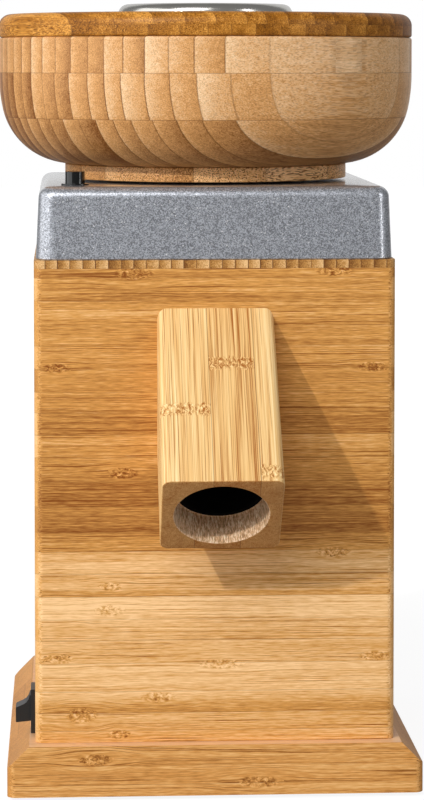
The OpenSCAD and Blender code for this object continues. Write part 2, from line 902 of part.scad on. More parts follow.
module hopper_ring() {
  flange_z = bowl_z - ring_flange_t;
  funnel_top = bowl_floor_z;
  lean = (funnel_top_r - funnel_foot_r) / (funnel_top - funnel_z);
  pocket_top = flange_z;
  pocket_in = funnel_foot_r + funnel_wall;
  color("dimgray") difference() {
    rotate_extrude() difference() {
      union() {
        translate([0, holder_top]) square([thread_r, flange_z - holder_top + eps]);
        translate([0, flange_z]) square([ring_flange_r, ring_flange_t]);
        translate([0, bowl_z - eps]) square([floor_hole_r - fit_gap, bowl_wall]);
      }
      polygon([[0, holder_top - 1], [funnel_foot_r, holder_top - 1], [funnel_foot_r, funnel_z],
        [funnel_top_r, funnel_top], [funnel_top_r, funnel_top + 1], [0, funnel_top + 1]]);
      polygon([[pocket_in, holder_top - 1], [pocket_in, funnel_z],
        [pocket_in + lean * (pocket_top - funnel_z), pocket_top],
        [thread_r - ring_wall, pocket_top], [thread_r - ring_wall, holder_top - 1]]);
    }
    around(spread(ring_screw_count, 45), ring_screw_circle) {
      rod(ring_screw_r + fit_gap, far, flange_z - 1);
      rod(ring_head_r + fit_gap, ring_head_t + 0.2 + 1, flange_z - 1);
    }
  }
}

module ring_screws() {
  head_top = bowl_z - ring_flange_t + 0.2 + ring_head_t;
  color("silver") around(spread(ring_screw_count, 45), ring_screw_circle)
    screw_up(ring_screw_r, ring_screw_len, ring_head_r, ring_head_t, head_top);
}

module stop_peg() {
  color("peru") rotate(pin_angle) translate([pin_circle_r, 0, 0]) rod(peg_r, peg_top - peg_z, peg_z);
}

module hopper_lid() {
  color("sienna") difference() {
    rotate_extrude() {
      translate([0, lid_z]) square([bowl_r - lid_edge_r, lid_top - lid_z]);
      translate([0, lid_z]) square([bowl_r - rim_round_r, lid_top - lid_z - lid_edge_r]);
      translate([0, lid_z + rim_round_r]) square([bowl_r, lid_top - lid_z - lid_edge_r - rim_round_r]);
      translate([bowl_r - rim_round_r, lid_z + rim_round_r]) circle(rim_round_r);
      translate([bowl_r - lid_edge_r, lid_top - lid_edge_r]) intersection() {
        circle(lid_edge_r);
        square(lid_edge_r);
      }
      translate([0, lid_z - lid_spigot]) square([bowl_r - bowl_wall - slide_gap, lid_spigot + eps]);
    }
    rod(medallion_r + fit_gap, far, lid_top - medallion_seat);
  }
}

module lid_medallion() {
  seat_z = lid_top - medallion_seat;
  top_z = lid_top + medallion_h;
  dish_r = medallion_r - 2 * medallion_rim_r;
  color("lightgray") rotate_extrude() difference() {
    union() {
      translate([0, seat_z]) square([medallion_r, top_z - seat_z - medallion_rim_r]);
      translate([0, seat_z]) square([medallion_r - medallion_rim_r, top_z - seat_z]);
      translate([medallion_r - medallion_rim_r, top_z - medallion_rim_r]) intersection() {
        circle(medallion_rim_r);
        square(medallion_rim_r);
      }
    }
    translate([0, top_z - dish_depth]) square([dish_r, 1]);
  }
}

// ---- stop pin ----

module stop_pin() {
  color("black") pin_place() {
    rod(pin_r, cap_top + pin_h - pin_body_z, pin_body_z);
    rod(pin_stem_r, pin_body_z - clip_z + 1, clip_z - 1);
  }
}

module pin_bushing() {
  color("black") pin_place() difference() {
    union() {
      rod(bushing_r, bushing_len, bushing_z);
      rod(bushing_flange_r, bushing_flange_t, cap_top);
    }
    rod(pin_r + run_gap, far, bushing_z + bushing_floor);
    rod(pin_stem_r + run_gap, far, bushing_z - 1);
  }
}

module pin_spring() {
  z = bushing_z + bushing_floor;
  color("silver") pin_place() translate([0, 0, z])
    coil(pin_spring_r, pin_wire_r, pin_body_z - z, pin_spring_turns);
}

module pin_clip() {
  color("silver") pin_place() ring(clip_r, pin_stem_r + fit_gap, clip_t, clip_z);
}

// ---- switch ----

// Children in the switch's frame: x goes out of the panel, y stays along Y, z is up
module switch_frame() {
  translate([-side_x, -switch_y, switch_z]) mirror([1, 0, 0]) children();
}

module switch_housing() {
  color("black") difference() {
    switch_frame() {
      translate([0, -bezel_w / 2, -bezel_h / 2]) cube([bezel_t, bezel_w, bezel_h]);
      translate([-switch_depth, -cut_w / 2, -cut_h / 2]) cube([switch_depth + eps, cut_w, cut_h]);
      for (i = [-1, 1]) translate([-switch_depth - tail_len, -3, tail_gap * i - 0.4])
        cube([tail_len + eps, 6, 0.8]);
    }
    switch_frame() {
      translate([bezel_t - cavity_depth, -cavity_w / 2, -cavity_h / 2])
        cube([cavity_depth + 1, cavity_w, cavity_h]);
      translate([-pivot_in, 0, 0]) rotate([90, 0, 0])
        cylinder(r = trunnion_r + run_gap, h = cut_w - 0.6, center = true);
    }
  }
}

// Rocker as it shows: its lower half stands proud, its upper half is pressed in
module switch_rocker() {
  width = cavity_w - 2 * slide_gap;
  color("black") switch_frame() translate([-pivot_in, 0, 0]) rotate([90, 0, 0]) {
    linear_extrude(width, center = true) {
      circle(3.4);
      polygon([[0, -4.6], [9.6, -5.5], [9.8, -4.9], [9.8, 1.0], [9.4, 1.5], [6.8, 2.6], [5, 3.6],
        [3.9, 5.2], [3.4, 7.0], [2.6, 7.0], [0, 4.6]]);
    }
    cylinder(r = trunnion_r, h = cut_w - 1.2, center = true);
  }
}

// ---- motor ----

module motor_shaft() {
  shoulder_z = floor_z - seal_t - fit_gap;
  color("silver") {
    rod(shaft_r, shoulder_z - shaft_z, shaft_z);
    rod(stem_r, lower_stone_top - shoulder_z, shoulder_z - eps);
  }
}

module rotor_core() {
  color("gray") ring(rotor_r, shaft_r + fit_gap, core_h - 4, core_z + 2);
}

module cooling_fan() {
  hub_r = shaft_r + 5;
  color("white") difference() {
    union() {
      rod(hub_r, fan_h, fan_z);
      rod(fan_r, 2, fan_z + fan_h - 2);
      for (a = spread(blade_count)) rotate(a)
        translate([hub_r - 2, -1, fan_z]) cube([fan_r - hub_r + 1, 2, fan_h - 1]);
    }
    rod(shaft_r + fit_gap, far, fan_z - 1);
  }
}

module stator_core() {
  color("slategray") difference() {
    rod(motor_r, core_h, core_z);
    rod(stator_bore_r, far, core_z - 1);
    around(spread(slot_count), slot_circle_r) rod(slot_r, far, core_z - 1);
    around(spread(tie_bolt_count, 45), tie_circle_r) rod(tie_r + fit_gap, far, core_z - 1);
  }
}

module stator_windings() {
  color("chocolate") {
    ring(winding_out, winding_in, winding_h, core_top + 0.2);
    ring(winding_out, winding_in, winding_h, core_z - winding_h - 0.2);
    around(spread(slot_count), slot_circle_r) rod(slot_r - fit_gap, core_h + 2, core_z - 1);
  }
}

// End shield that closes the motor towards +Z; the bearing sits in its boss
module end_shield() {
  plate_z = shield_h - shield_end_t;
  difference() {
    union() {
      ring(motor_r, shield_bore_r, shield_h);
      rod(motor_r - 1, shield_end_t, plate_z);
      rod(bearing_boss_r, bearing_w + bearing_inset, shield_h - bearing_w - bearing_inset);
    }
    rod(bearing_r + fit_gap, bearing_w + eps, shield_h - bearing_inset - bearing_w - eps);
    rod(shaft_r + 3, far, -1);
    around(spread(tie_bolt_count, 45), tie_circle_r) rod(tie_r + fit_gap, far, -1);
    around(spread(shield_vents), (bearing_boss_r + shield_bore_r) / 2) rod(shield_vent_r, far, plate_z - 1);
  }
}

module upper_end_shield() {
  color("silver") translate([0, 0, core_top]) end_shield();
}

module lower_end_shield() {
  color("silver") translate([0, 0, core_z]) mirror([0, 0, 1]) end_shield();
}

module bearing(z) {
  color("lightgray") ring(bearing_r, shaft_r + run_gap, bearing_w, z);
}

module upper_bearing() {
  bearing(core_top + shield_h - bearing_inset - bearing_w);
}

module lower_bearing() {
  bearing(core_z - shield_h + bearing_inset);
}

module tie_bolts() {
  color("silver") around(spread(tie_bolt_count, 45), tie_circle_r)
    screw_up(tie_r, board_z - motor_z + tie_bite, tie_head_r, tie_head_t, motor_z);
}

module thermal_cutout() {
  z = core_z - winding_h - 0.2;
  color("white") block(5, 10, 4, winding_out - 4, 0, z - 4);
}

// ---- electrical parts ----

module run_capacitor() {
  color("gainsboro") translate([capacitor_x, capacitor_y, 0]) {
    rod(capacitor_r, capacitor_h, body_z);
    for (sy = [-1, 1]) block(6, 0.8, 8, 0, sy * 6, body_z + capacitor_h - eps);
  }
}

module capacitor_clamp() {
  r = capacitor_r + fit_gap;
  color("silver") translate([capacitor_x, capacitor_y, 0]) difference() {
    union() {
      rod(r + clamp_wall, clamp_band_h, body_z);
      for (sy = [-1, 1]) block(12, clamp_foot, clamp_wall, 0, sy * (r + clamp_foot / 2), body_z);
    }
    rod(r, far, body_z - 1);
    for (sy = [-1, 1]) translate([0, sy * (r + clamp_foot - 5), 0]) rod(screw_r, 4, body_z - 1);
  }
}

module terminal_block() {
  color("white") difference() {
    block(block_w, block_d, block_h, block_x, block_y, body_z);
    for (i = [-1:1]) translate([block_x + i * block_pitch, block_y, body_z + block_bore_rise])
      rotate([90, 0, 0]) cylinder(r = lead_r + 0.5, h = block_d + 2, center = true);
  }
}

module cord_gland() {
  color("black") translate([-entry_x, panel_y, entry_z]) rotate([-90, 0, 0]) difference() {
    union() {
      rod(gland_r, gland_len, -gland_nut_t - 1);
      rod(gland_flange_r, gland_flange_t, panel_t);
    }
    rod(entry_r, far, -gland_nut_t - 2);
  }
}

module gland_nut() {
  color("black") translate([-entry_x, panel_y, entry_z]) rotate([90, 0, 0]) difference() {
    cylinder(r = gland_flange_r, h = gland_nut_t, $fn = 6);
    rod(gland_r + fit_gap, far, -1);
  }
}

// Round lead along straight runs, with a ball at each bend
module lead(points) {
  for (i = [0:len(points) - 2]) {
    d = points[i + 1] - points[i];
    run = norm(d);
    translate(points[i]) rotate([0, acos(d[2] / run), atan2(d[1], d[0])])
      cylinder(r = lead_r, h = run, $fn = lead_fn);
    if (i > 0) translate(points[i]) sphere(r = lead_r + 0.1, $fn = lead_fn);
  }
}

module internal_leads() {
  low_z = body_z + lead_r + 0.3;
  block_z = body_z + block_bore_rise;
  block_front = block_y - block_d / 2;
  tail_x = switch_depth + tail_len - side_x;
  color("brown") for (i = [-1, 1])
    lead([[tail_x + 0.5, -switch_y, switch_z + tail_gap * i],
      [tail_x + 6 + 2 * i, -switch_y, switch_z + tail_gap * i],
      [tail_x + 6 + 2 * i, -switch_y + 8, low_z + 2], [block_x + block_pitch * i, 0, low_z + 2],
      [block_x + block_pitch * i, block_front - 4, block_z],
      [block_x + block_pitch * i, block_front + 2, block_z]]);
}

base_plate();
rubber_feet();
foot_screws();
base_screws();
front_panel();
back_panel();
left_panel();
right_panel();
top_board();
top_cap();
cap_screws();
spout();
chute_liner();
grinding_chamber();
chamber_screws();
shaft_seal();
stone_carrier();
lower_stone();
clamp_washer();
clamp_nut();
upper_stone();
stone_holder();
stone_springs();
hopper_ring();
ring_screws();
hopper_collar();
bowl_top_layer();
bowl_middle_layer();
bowl_bottom_layer();
stop_peg();
hopper_lid();
lid_medallion();
stop_pin();
pin_bushing();
pin_spring();
pin_clip();
switch_housing();
switch_rocker();
motor_shaft();
rotor_core();
cooling_fan();
stator_core();
stator_windings();
upper_end_shield();
lower_end_shield();
upper_bearing();
lower_bearing();
tie_bolts();
thermal_cutout();
run_capacitor();
capacitor_clamp();
terminal_block();
cord_gland();
gland_nut();
internal_leads();
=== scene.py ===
"""Looks of a household electric stone mill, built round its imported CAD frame.

The frame is the CAD part's, in metres: Z is up, the front with the flour spout faces -Y, and
the grinding axis is X = 0, Y = 0. Sizes of shapes and of the materials' figure are millimetres.
"""

from __future__ import annotations

import json
import logging
import math
from dataclasses import dataclass
from enum import Enum
from functools import cache
from typing import Iterable, Sequence, Union

import bmesh
import bpy
from mathutils import Matrix, Vector


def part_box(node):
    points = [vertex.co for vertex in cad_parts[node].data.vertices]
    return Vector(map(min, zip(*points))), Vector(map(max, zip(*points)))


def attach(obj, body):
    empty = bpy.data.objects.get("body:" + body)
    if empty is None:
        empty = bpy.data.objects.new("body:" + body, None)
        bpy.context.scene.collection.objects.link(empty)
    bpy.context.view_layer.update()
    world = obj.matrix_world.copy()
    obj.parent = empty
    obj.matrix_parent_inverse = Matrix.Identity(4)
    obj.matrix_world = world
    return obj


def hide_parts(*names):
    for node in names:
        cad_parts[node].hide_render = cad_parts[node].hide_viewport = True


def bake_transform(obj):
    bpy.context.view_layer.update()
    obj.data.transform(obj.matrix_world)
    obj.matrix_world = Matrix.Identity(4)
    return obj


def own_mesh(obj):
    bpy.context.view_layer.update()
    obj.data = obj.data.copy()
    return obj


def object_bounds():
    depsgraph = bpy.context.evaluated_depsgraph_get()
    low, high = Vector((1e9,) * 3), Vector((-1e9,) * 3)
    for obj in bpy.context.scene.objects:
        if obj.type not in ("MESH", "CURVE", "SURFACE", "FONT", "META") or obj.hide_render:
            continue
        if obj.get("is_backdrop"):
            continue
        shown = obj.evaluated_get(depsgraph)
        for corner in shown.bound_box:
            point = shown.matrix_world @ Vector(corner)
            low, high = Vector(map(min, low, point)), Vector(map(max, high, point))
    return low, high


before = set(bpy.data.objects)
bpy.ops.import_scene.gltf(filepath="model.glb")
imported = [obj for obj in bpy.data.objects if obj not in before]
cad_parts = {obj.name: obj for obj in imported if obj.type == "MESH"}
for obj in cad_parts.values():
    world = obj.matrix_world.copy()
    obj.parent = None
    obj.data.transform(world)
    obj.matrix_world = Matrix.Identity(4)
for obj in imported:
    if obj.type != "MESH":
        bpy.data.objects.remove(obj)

LOG = logging.getLogger("mill")
MM = 0.001
JOIN_GAP = 2e-6
PICTURE_H = 800
FAR_MM = 99.0
TONES_MM = 400.0

Colour = tuple[float, ...]
Pair = tuple[float, float]
Box = tuple[Vector, Vector]
Term = Union["Value", float, int, tuple]


def srgb(code: str) -> Colour:
    """Turn a six-digit screen colour into linear light.

    Args:
        code: Red, green and blue as hexadecimal digits.

    Returns:
        The three linear values.
    """
    parts = [int(code[i:i + 2], 16) / 255 for i in (0, 2, 4)]
    return tuple(p / 12.92 if p <= 0.04045 else ((p + 0.055) / 1.055) ** 2.4 for p in parts)


# ---- node trees ----


class Value:
    """One output of a node, to be written in formulas."""

    def __init__(self, tree: Tree, socket: bpy.types.NodeSocket) -> None:
        """Wrap an output socket of tree."""
        self.tree, self.socket = tree, socket

    def __add__(self, other: Term) -> Value:
        """Return self + other."""
        return self.tree.math("ADD", self, other)

    def __sub__(self, other: Term) -> Value:
        """Return self - other."""
        return self.tree.math("SUBTRACT", self, other)

    def __rsub__(self, other: Term) -> Value:
        """Return other - self."""
        return self.tree.math("SUBTRACT", other, self)

    def __mul__(self, other: Term) -> Value:
        """Return self * other."""
        return self.tree.math("MULTIPLY", self, other)

    def __truediv__(self, other: Term) -> Value:
        """Return self / other."""
        return self.tree.math("DIVIDE", self, other)

    def __abs__(self) -> Value:
        """Return self without its sign."""
        return self.tree.math("ABSOLUTE", self)

    __radd__, __rmul__ = __add__, __mul__


class Tree:
    """A node tree whose nodes are added by name."""

    def __init__(self, tree: bpy.types.NodeTree) -> None:
        """Empty a node tree and work on it."""
        self.tree = tree
        self.tree.nodes.clear()

    def node(self, kind: str, values: dict[str | int, object] | None = None,
             **settings: object) -> bpy.types.Node:
        """Add a node, set its options and feed its inputs.

        Args:
            kind: Node type; the prefix of a shader node's may be left off.
            values: Terms by input name or number.
            **settings: Options of the node, by attribute name.

        Returns:
            The new node.
        """
        made = self.tree.nodes.new(kind if "Node" in kind else "ShaderNode" + kind)
        for key, value in settings.items():
            setattr(made, key, value)
        for key, value in (values or {}).items():
            self.feed(made.inputs[key], value)
        return made

    def feed(self, socket: bpy.types.NodeSocket, value: object) -> None:
        """Link an output into a socket, or store a constant there.

        Args:
            socket: Input of a node.
            value: Output or constant; a colour has three numbers.
        """
        value = value.socket if isinstance(value, Value) else value
        if isinstance(value, bpy.types.NodeSocket):
            self.tree.links.new(value, socket)
        else:
            socket.default_value = (*value, 1.0) if socket.type == "RGBA" else value

    def value(self, kind: str, values: dict[str | int, object] | None = None, output: str | int = 0,
              **settings: object) -> Value:
        """Add a node as method node does, and return one of its outputs."""
        return Value(self, self.node(kind, values, **settings).outputs[output])

    def math(self, operation: str, *terms: Term) -> Value:
        """Return the result of one Math node."""
        return self.value("Math", dict(enumerate(terms)), operation=operation)

    def join(self, *terms: Term) -> Value:
        """Return the vector of three terms."""
        return self.value("CombineXYZ", dict(enumerate(terms)))

    def split(self, vector: Value) -> tuple[Value, ...]:
        """Return the three terms of a vector."""
        return tuple(Value(self, part) for part in self.node("SeparateXYZ", {0: vector}).outputs)

    def past(self, term: Term, limit: Term) -> Value:
        """Return 1 where term is past limit, else 0."""
        return self.math("GREATER_THAN", term, limit)

    def root(self, term: Value) -> Value:
        """Return the square root of term, or 0 where term is negative."""
        return self.math("SQRT", self.math("MAXIMUM", term, 0.0))


class Graph(Tree):
    """Node tree of one material, from places on the piece to its surface."""

    def __init__(self, name: str) -> None:
        """Start an empty material called name."""
        self.material = bpy.data.materials.new(name)
        self.material.use_nodes = True
        super().__init__(self.material.node_tree)

    def place(self, rows: Matrix = Matrix.Identity(3)) -> Value:
        """Find each point's place on the piece.

        Args:
            rows: Rotation whose rows are the directions to measure along.

        Returns:
            The place as a vector, in millimetres.
        """
        spot = self.value("TexCoord", output="Object")
        return self.value("Mapping", {"Vector": spot, "Rotation": rows.to_euler(), "Scale": (1 / MM,) * 3})

    def fade(self, term: Term, low: float, high: float, start: float = 0.0, end: float = 1.0) -> Value:
        """Return term mapped smoothly from low..high to start..end."""
        return self.value("MapRange", {"Value": term, "From Min": low, "From Max": high, "To Min": start,
                                       "To Max": end}, interpolation_type="SMOOTHSTEP")

    def noise(self, vector: Value, scale: float, detail: float, roughness: float = 0.5) -> Value:
        """Return noise between 0 and 1."""
        return self.value("TexNoise", {"Vector": vector, "Scale": scale, "Detail": detail,
                                       "Roughness": roughness})

    def drawn(self, place: Sequence[Term], sizes: Sequence[float], detail: float,
              roughness: float = 0.5) -> Value:
        """Return noise whose spots have their own size along each of three directions."""
        spot = self.join(*(term / size for term, size in zip(place, sizes)))
        return self.noise(spot, 1.0, detail, roughness)

    def cell_luck(self, cells: bpy.types.Node) -> tuple[Value, ...]:
        """Return three random values for each cell of a Voronoi node."""
        pick = self.node("SeparateColor", {0: cells.outputs["Color"]})
        return tuple(Value(self, part) for part in pick.outputs)

    def ramp(self, term: Term, *stops: tuple[float, Colour]) -> Value:
        """Colour a term.

        Args:
            term: A value from 0 to 1.
            *stops: Places on the ramp with their colours.

        Returns:
            The colour.
        """
        made = self.node("ValToRGB", {0: term})
        elements = made.color_ramp.elements
        while len(elements) < len(stops):
            elements.new(0.5)
        for element, (place, colour) in zip(elements, stops):
            element.position = place
            element.color = (*colour, 1.0)
        return Value(self, made.outputs[0])

    def shades(self, term: Term, code: str, *stops: Pair) -> Value:
        """Return shades of one screen colour, from places on a ramp with the strength there."""
        base = Vector(srgb(code))
        return self.ramp(term, *((place, tuple(base * strength)) for place, strength in stops))

    def blend(self, factor: Term, a: Term, b: Term) -> Value:
        """Return colour a blended with colour b by factor."""
        return self.value("Mix", {0: factor, 6: a, 7: b}, 2, data_type="RGBA")

    def bump(self, height: Term, depth_mm: float, strength: float = 0.5) -> Value:
        """Return the normal of a relief that is depth_mm deep from 0 to 1."""
        return self.value("Bump", {"Strength": strength, "Distance": depth_mm * MM, "Height": height})

    def finish(self, **inputs: Term) -> bpy.types.Material:
        """Close the tree with a Principled surface.

        Args:
            **inputs: Inputs of the surface, with underscores for spaces.

        Returns:
            The finished material.
        """
        shader = self.value("BsdfPrincipled", {key.replace("_", " "): term for key, term in inputs.items()})
        self.node("OutputMaterial", {"Surface": shader})
        return self.material


def level_grain(degrees: float) -> tuple[tuple[float, ...], ...]:
    """Return the directions of level fibres, turned from +X, and of the strips across them."""
    along = math.cos(math.radians(degrees)), math.sin(math.radians(degrees))
    return (*along, 0.0), (-along[1], along[0], 0.0)


class Grain(Enum):
    """Directions of a glued bamboo piece: fibres, then across the strips."""

    ACROSS = ((1, 0, 0), (0, 0, 1))
    DEEP = ((0, 1, 0), (0, 0, 1))
    BOARD = ((0, 1, 0), (1, 0, 0))
    SPOUT = ((0, -math.sqrt(0.5), -math.sqrt(0.5)), (1, 0, 0))
    BOWL = level_grain(38.6)
    LID = level_grain(-62)

    def rows(self) -> Matrix:
        """Return the rotation whose rows are fibres, across and depth."""
        along, across = Vector(self.value[0]), Vector(self.value[1])
        return Matrix((along, across, along.cross(across)))


# ---- materials ----


@dataclass(frozen=True)
class Knuckle:
    """One joint of the cane: a short speckled patch among straight fibres."""

    along_mm: float
    across_mm: float
    half_mm: Pair


@dataclass(frozen=True)
class Plank:
    """One wide strip of a piece whose strips are listed one by one."""

    start_mm: float
    tone: float
    knuckle_mm: float


@dataclass(frozen=True)
class Bamboo:
    """Laminated bamboo, solid through: strips of fibre glued side by side and in layers."""

    name: str
    grain: Grain
    pale: str
    mid: str
    dark: str
    strip_mm: float
    unevenness: float = 0.5
    # layers: places of the glue joints, and how far the strips of each layer are moved
    joints_mm: tuple[float, ...] = ()
    shift_mm: tuple[float, ...] = (0.0, 61.7, 123.4, 185.1)
    joint_dark: float = 0.3
    rag: float = 0.0
    # tone: from strip to strip, across a strip, by height (the wood's own bands, with painted shade on
    # some pieces), by metre across (painted side shade), and half the width of the piece where strips differ
    # less towards its ends; planks have their own tone
    tone: float = 0.4
    slope: float = 0.0
    tones_and_shade: tuple[Pair, ...] = ()
    painted_side_shade: float = 0.0
    calm_mm: float = 0.0
    planks: tuple[Plank, ...] = ()
    # fibres: fine, short, middling and broad ones, dark lines and dark flecks
    fibre: float = 1.2
    fibre_mm: Pair = (60.0, 0.42)
    hair: float = 0.0
    streak: float = 0.45
    band: float = 0.5
    dark_lines: float = 0.5
    fleck: float = 0.0
    # end grain, a painted sheen on faces that look up, and the inside of a bore (its radius and the depth of
    # its axis)
    end_tone: float = 0.0
    end_blocks: float = 0.0
    top_sheen: float = 0.0
    bore_mm: Pair | None = None
    # knuckles: their spacing on strips, or single ones
    knuckle_mm: float = 260.0
    knuckle_half_mm: float = 4.0
    knuckle_lens: float = -0.55
    knuckles: tuple[Knuckle, ...] = ()
    roughness: float = 0.46
    shine: float = 0.3

    @cache
    def material(self) -> bpy.types.Material:
        """Build the material once and return it."""
        return Cane(self).surface()


class Cane(Graph):
    """Tree of one bamboo material, with the places that its figure follows."""

    STREAK_MM = (90.0, 1.4)
    BAND_MM = (200.0, 5.0)
    HAIR_MM = (7.0, 0.5)
    LINE_MM = (70.0, 0.42)
    RUN_MM = 900.0
    SWAY_MM = (60.0, 0.8)
    RAGGED_MM = (10.0, 1 / 0.9, 1 / 0.9)
    RAGGED_BY_MM = 5.0
    SWIRL_MM = (1 / 0.3, 1 / 0.45, 1 / 0.45)
    SWIRL_BY_MM = 4.0
    SPECK_MM = (2.2, 1.0, 1.0)
    FLECK_MM = (4.0, 0.4, 0.5)
    FUZZ_MM = (3.0, 0.7, 0.7)
    GRIT_MM = 0.55
    MIDDLE_TONE = 0.52
    CALM_EDGE_MM = (4.0, 26.0)
    GLUE_EDGE_MM = (0.08, 0.34)
    SEAM_EDGE_MM = (0.05, 0.25)
    LINE_EDGE = (0.60, 0.68)
    FLECK_EDGE = (0.55, 0.66)
    END_EDGE = (0.35, 0.8)
    TOP_EDGE = (0.93, 0.99)
    GLUE = srgb("6b4018")
    # pale colour of the painted sheen on faces that look up
    PAINTED_SHEEN = srgb("efcaa6")
    WORN = ((0.36, srgb("9a744f")), (0.5, srgb("dfb286")), (0.62, srgb("fdeacd")))

    def __init__(self, look: Bamboo) -> None:
        """Set out the layers, strips and fibres.

        Args:
            look: The bamboo to show.
        """
        super().__init__(look.name)
        self.look = look
        self.along, self.across, self.deep = self.split(self.place(look.grain.rows()))
        shift: Term = look.shift_mm[0]
        for joint, before, after in zip(look.joints_mm, look.shift_mm, look.shift_mm[1:]):
            shift += self.past(self.deep, joint) * (after - before)
        length, width = self.SWAY_MM
        sway = self.noise(self.join(self.along / length, shift, 3.0), 1.0, 1.0)
        self.side = self.across + (sway - 0.5) * width + shift
        *self.luck, self.within, self.gap = self.laid_planks() if look.planks else self.strips()
        self.run = self.luck[0] * self.RUN_MM + self.along
        self.near: Term = 1.0
        if look.calm_mm:
            self.near = self.fade(look.calm_mm - abs(self.across), *self.CALM_EDGE_MM, 0.2, 1.0)
        self.bend()
        self.fine = self.fibres(look.fibre_mm, 2.0)
        self.streak = self.fibres(self.STREAK_MM, 2.0)

    def strips(self) -> tuple[Term, ...]:
        """Lay out strips of uneven width.

        Returns:
            Three random values of the strip, the place in it from -0.5 to 0.5 and the distance
            to its edge.
        """
        wide = self.look.strip_mm
        values = {"W": self.side, "Scale": 1 / wide, "Randomness": self.look.unevenness}
        strip, edge = (self.node("TexVoronoi", values, voronoi_dimensions="1D", feature=feature)
                       for feature in ("F1", "DISTANCE_TO_EDGE"))
        within = (self.side - Value(self, strip.outputs["W"])) / wide
        return (*self.cell_luck(strip), within, Value(self, edge.outputs["Distance"]) * wide)

    def per_plank(self, size: str) -> Term:
        """Look up a size of the plank at each point.

        Args:
            size: Name of a field of Plank.

        Returns:
            The size.
        """
        planks = self.look.planks
        term: Term = getattr(planks[0], size)
        for before, plank in zip(planks, planks[1:]):
            term += self.past(self.side, plank.start_mm) * (getattr(plank, size) - getattr(before, size))
        return term

    def laid_planks(self) -> tuple[Term, ...]:
        """Lay out the planks.

        Returns:
            The same five values as for strips.
        """
        tone, gap = self.per_plank("tone"), FAR_MM
        for plank in self.look.planks[1:]:
            gap = self.math("MINIMUM", gap, abs(self.side - plank.start_mm))
        return tone, 0.5, tone, 0.0, gap

    def away(self) -> Term:
        """Measure along the fibres how far the nearest knuckle is.

        Returns:
            The distance.
        """
        if self.look.planks:
            return abs(self.along - self.per_plank("knuckle_mm"))
        every = self.look.knuckle_mm
        return abs(self.math("FRACT", self.run / every) - 0.5) * every if every else FAR_MM

    def bend(self) -> None:
        """Place the knuckles and bend the fibres round them."""
        look, flow = self.look, (self.run, self.side, self.deep)
        ragged = (self.drawn(flow, self.RAGGED_MM, 1.0) - 0.5) * self.RAGGED_BY_MM
        half = look.knuckle_half_mm
        knuckle = self.fade(ragged + self.away(), half / 2, half, 1.0, 0.0)
        bulge: Term = 0.0
        for spot in look.knuckles:
            left = (self.along - spot.along_mm) / spot.half_mm[0]
            off = self.across - spot.across_mm
            up = off / spot.half_mm[1]
            far = left * left + up * up
            knuckle = self.math("MAXIMUM", knuckle, self.fade(far, 0.3, 1.0, 0.8, 0.0))
            bulge += self.fade(far, 0.5, 7.0, look.knuckle_lens, 0.0) * off
        push = knuckle * (self.drawn(flow, self.SWIRL_MM, 1.0) - 0.5) * self.SWIRL_BY_MM
        self.knuckle, self.bent = knuckle, (self.run, self.side + push + bulge, self.deep + push)

    def fibres(self, size_mm: Pair, detail: float) -> Value:
        """Return noise drawn out along the fibres, from their length and width."""
        return self.drawn(self.bent, (*size_mm, size_mm[1]), detail, 0.6)

    def flecks(self, sizes: Sequence[float], detail: float) -> Value:
        """Return noise in grains of three sizes, straight through the depth."""
        return self.drawn((*self.bent[:2], self.deep), sizes, detail)

    def tone(self) -> Value:
        """Add up the tone of strips, fibres, end grain and knuckles, and the painted shade by height and
        from side to side.

        Returns:
            The tone, from 0 for dark to 1 for pale.
        """
        look, (_, lean, shade) = self.look, self.luck
        spread = (shade - 0.5) * look.tone + self.within * (lean * 0.6 + 0.7) * look.slope
        tone = (self.fine - 0.5) * look.fibre + (self.streak - 0.5) * look.streak
        tone += (self.fibres(self.BAND_MM, 1.0) - 0.5) * look.band + spread * self.near
        # painted side shade: a straight tone ramp across the piece, lighter on one side and darker on the
        # other, standing in for how light falls on it
        tone += self.across * (look.painted_side_shade * MM) + self.MIDDLE_TONE
        # tone by height: the wood's own bands and layers, with painted shade where a piece is darker low
        # down or high up
        if look.tones_and_shade:
            height = self.split(self.place())[2] / TONES_MM
            tone += self.ramp(height, *((z / TONES_MM, (grey,) * 3) for z, grey in look.tones_and_shade)) - 0.5
        if look.hair:
            tone += (self.fibres(self.HAIR_MM, 2.0) - 0.5) * look.hair
        tone -= self.fade(self.fibres(self.LINE_MM, 1.0), *self.LINE_EDGE) * look.dark_lines
        if look.end_tone:
            normal = self.value("TexCoord", output="Normal")
            facing = self.value("VectorMath", {0: normal, 1: look.grain.value[0]}, "Value",
                                operation="DOT_PRODUCT")
            calm = (0.5 - tone) * 0.6 + (lean - 0.5) * look.end_blocks
            tone += self.fade(abs(facing), *self.END_EDGE) * (calm + look.end_tone)
        return tone + self.knuckle * ((self.flecks(self.SPECK_MM, 2.0) - 0.5) * 2.4 - 0.16)

    def joints(self) -> Value:
        """Draw the glue joints between strips and between layers.

        Returns:
            How dark the joints are at each point.
        """
        look, grit = self.look, self.noise(self.place(), 1 / self.GRIT_MM, 1.0)
        line = self.fade(self.gap - (grit - 0.5) * look.rag, *self.GLUE_EDGE_MM, 1.0, 0.0)
        line *= (self.luck[1] + 0.4) * look.joint_dark * self.near
        for joint in look.joints_mm:
            seam = self.fade(abs(self.deep - joint), *self.SEAM_EDGE_MM, look.joint_dark * 0.6, 0.0)
            line = self.math("MAXIMUM", line, seam)
        return line

    def bore(self, colour: Value) -> Value:
        """Colour the inside of the bore as worn, fuzzy wood.

        Args:
            colour: Colour elsewhere.

        Returns:
            The colour everywhere.
        """
        radius, axis = self.look.bore_mm
        off = self.deep - axis
        inside = self.fade(self.root(off * off + self.across * self.across), radius + 0.15, radius + 0.3,
                           1.0, 0.0)
        fuzz = self.drawn((self.along, self.across, self.deep), self.FUZZ_MM, 3.0, 0.75)
        return self.blend(inside, colour, self.ramp(fuzz, *self.WORN))

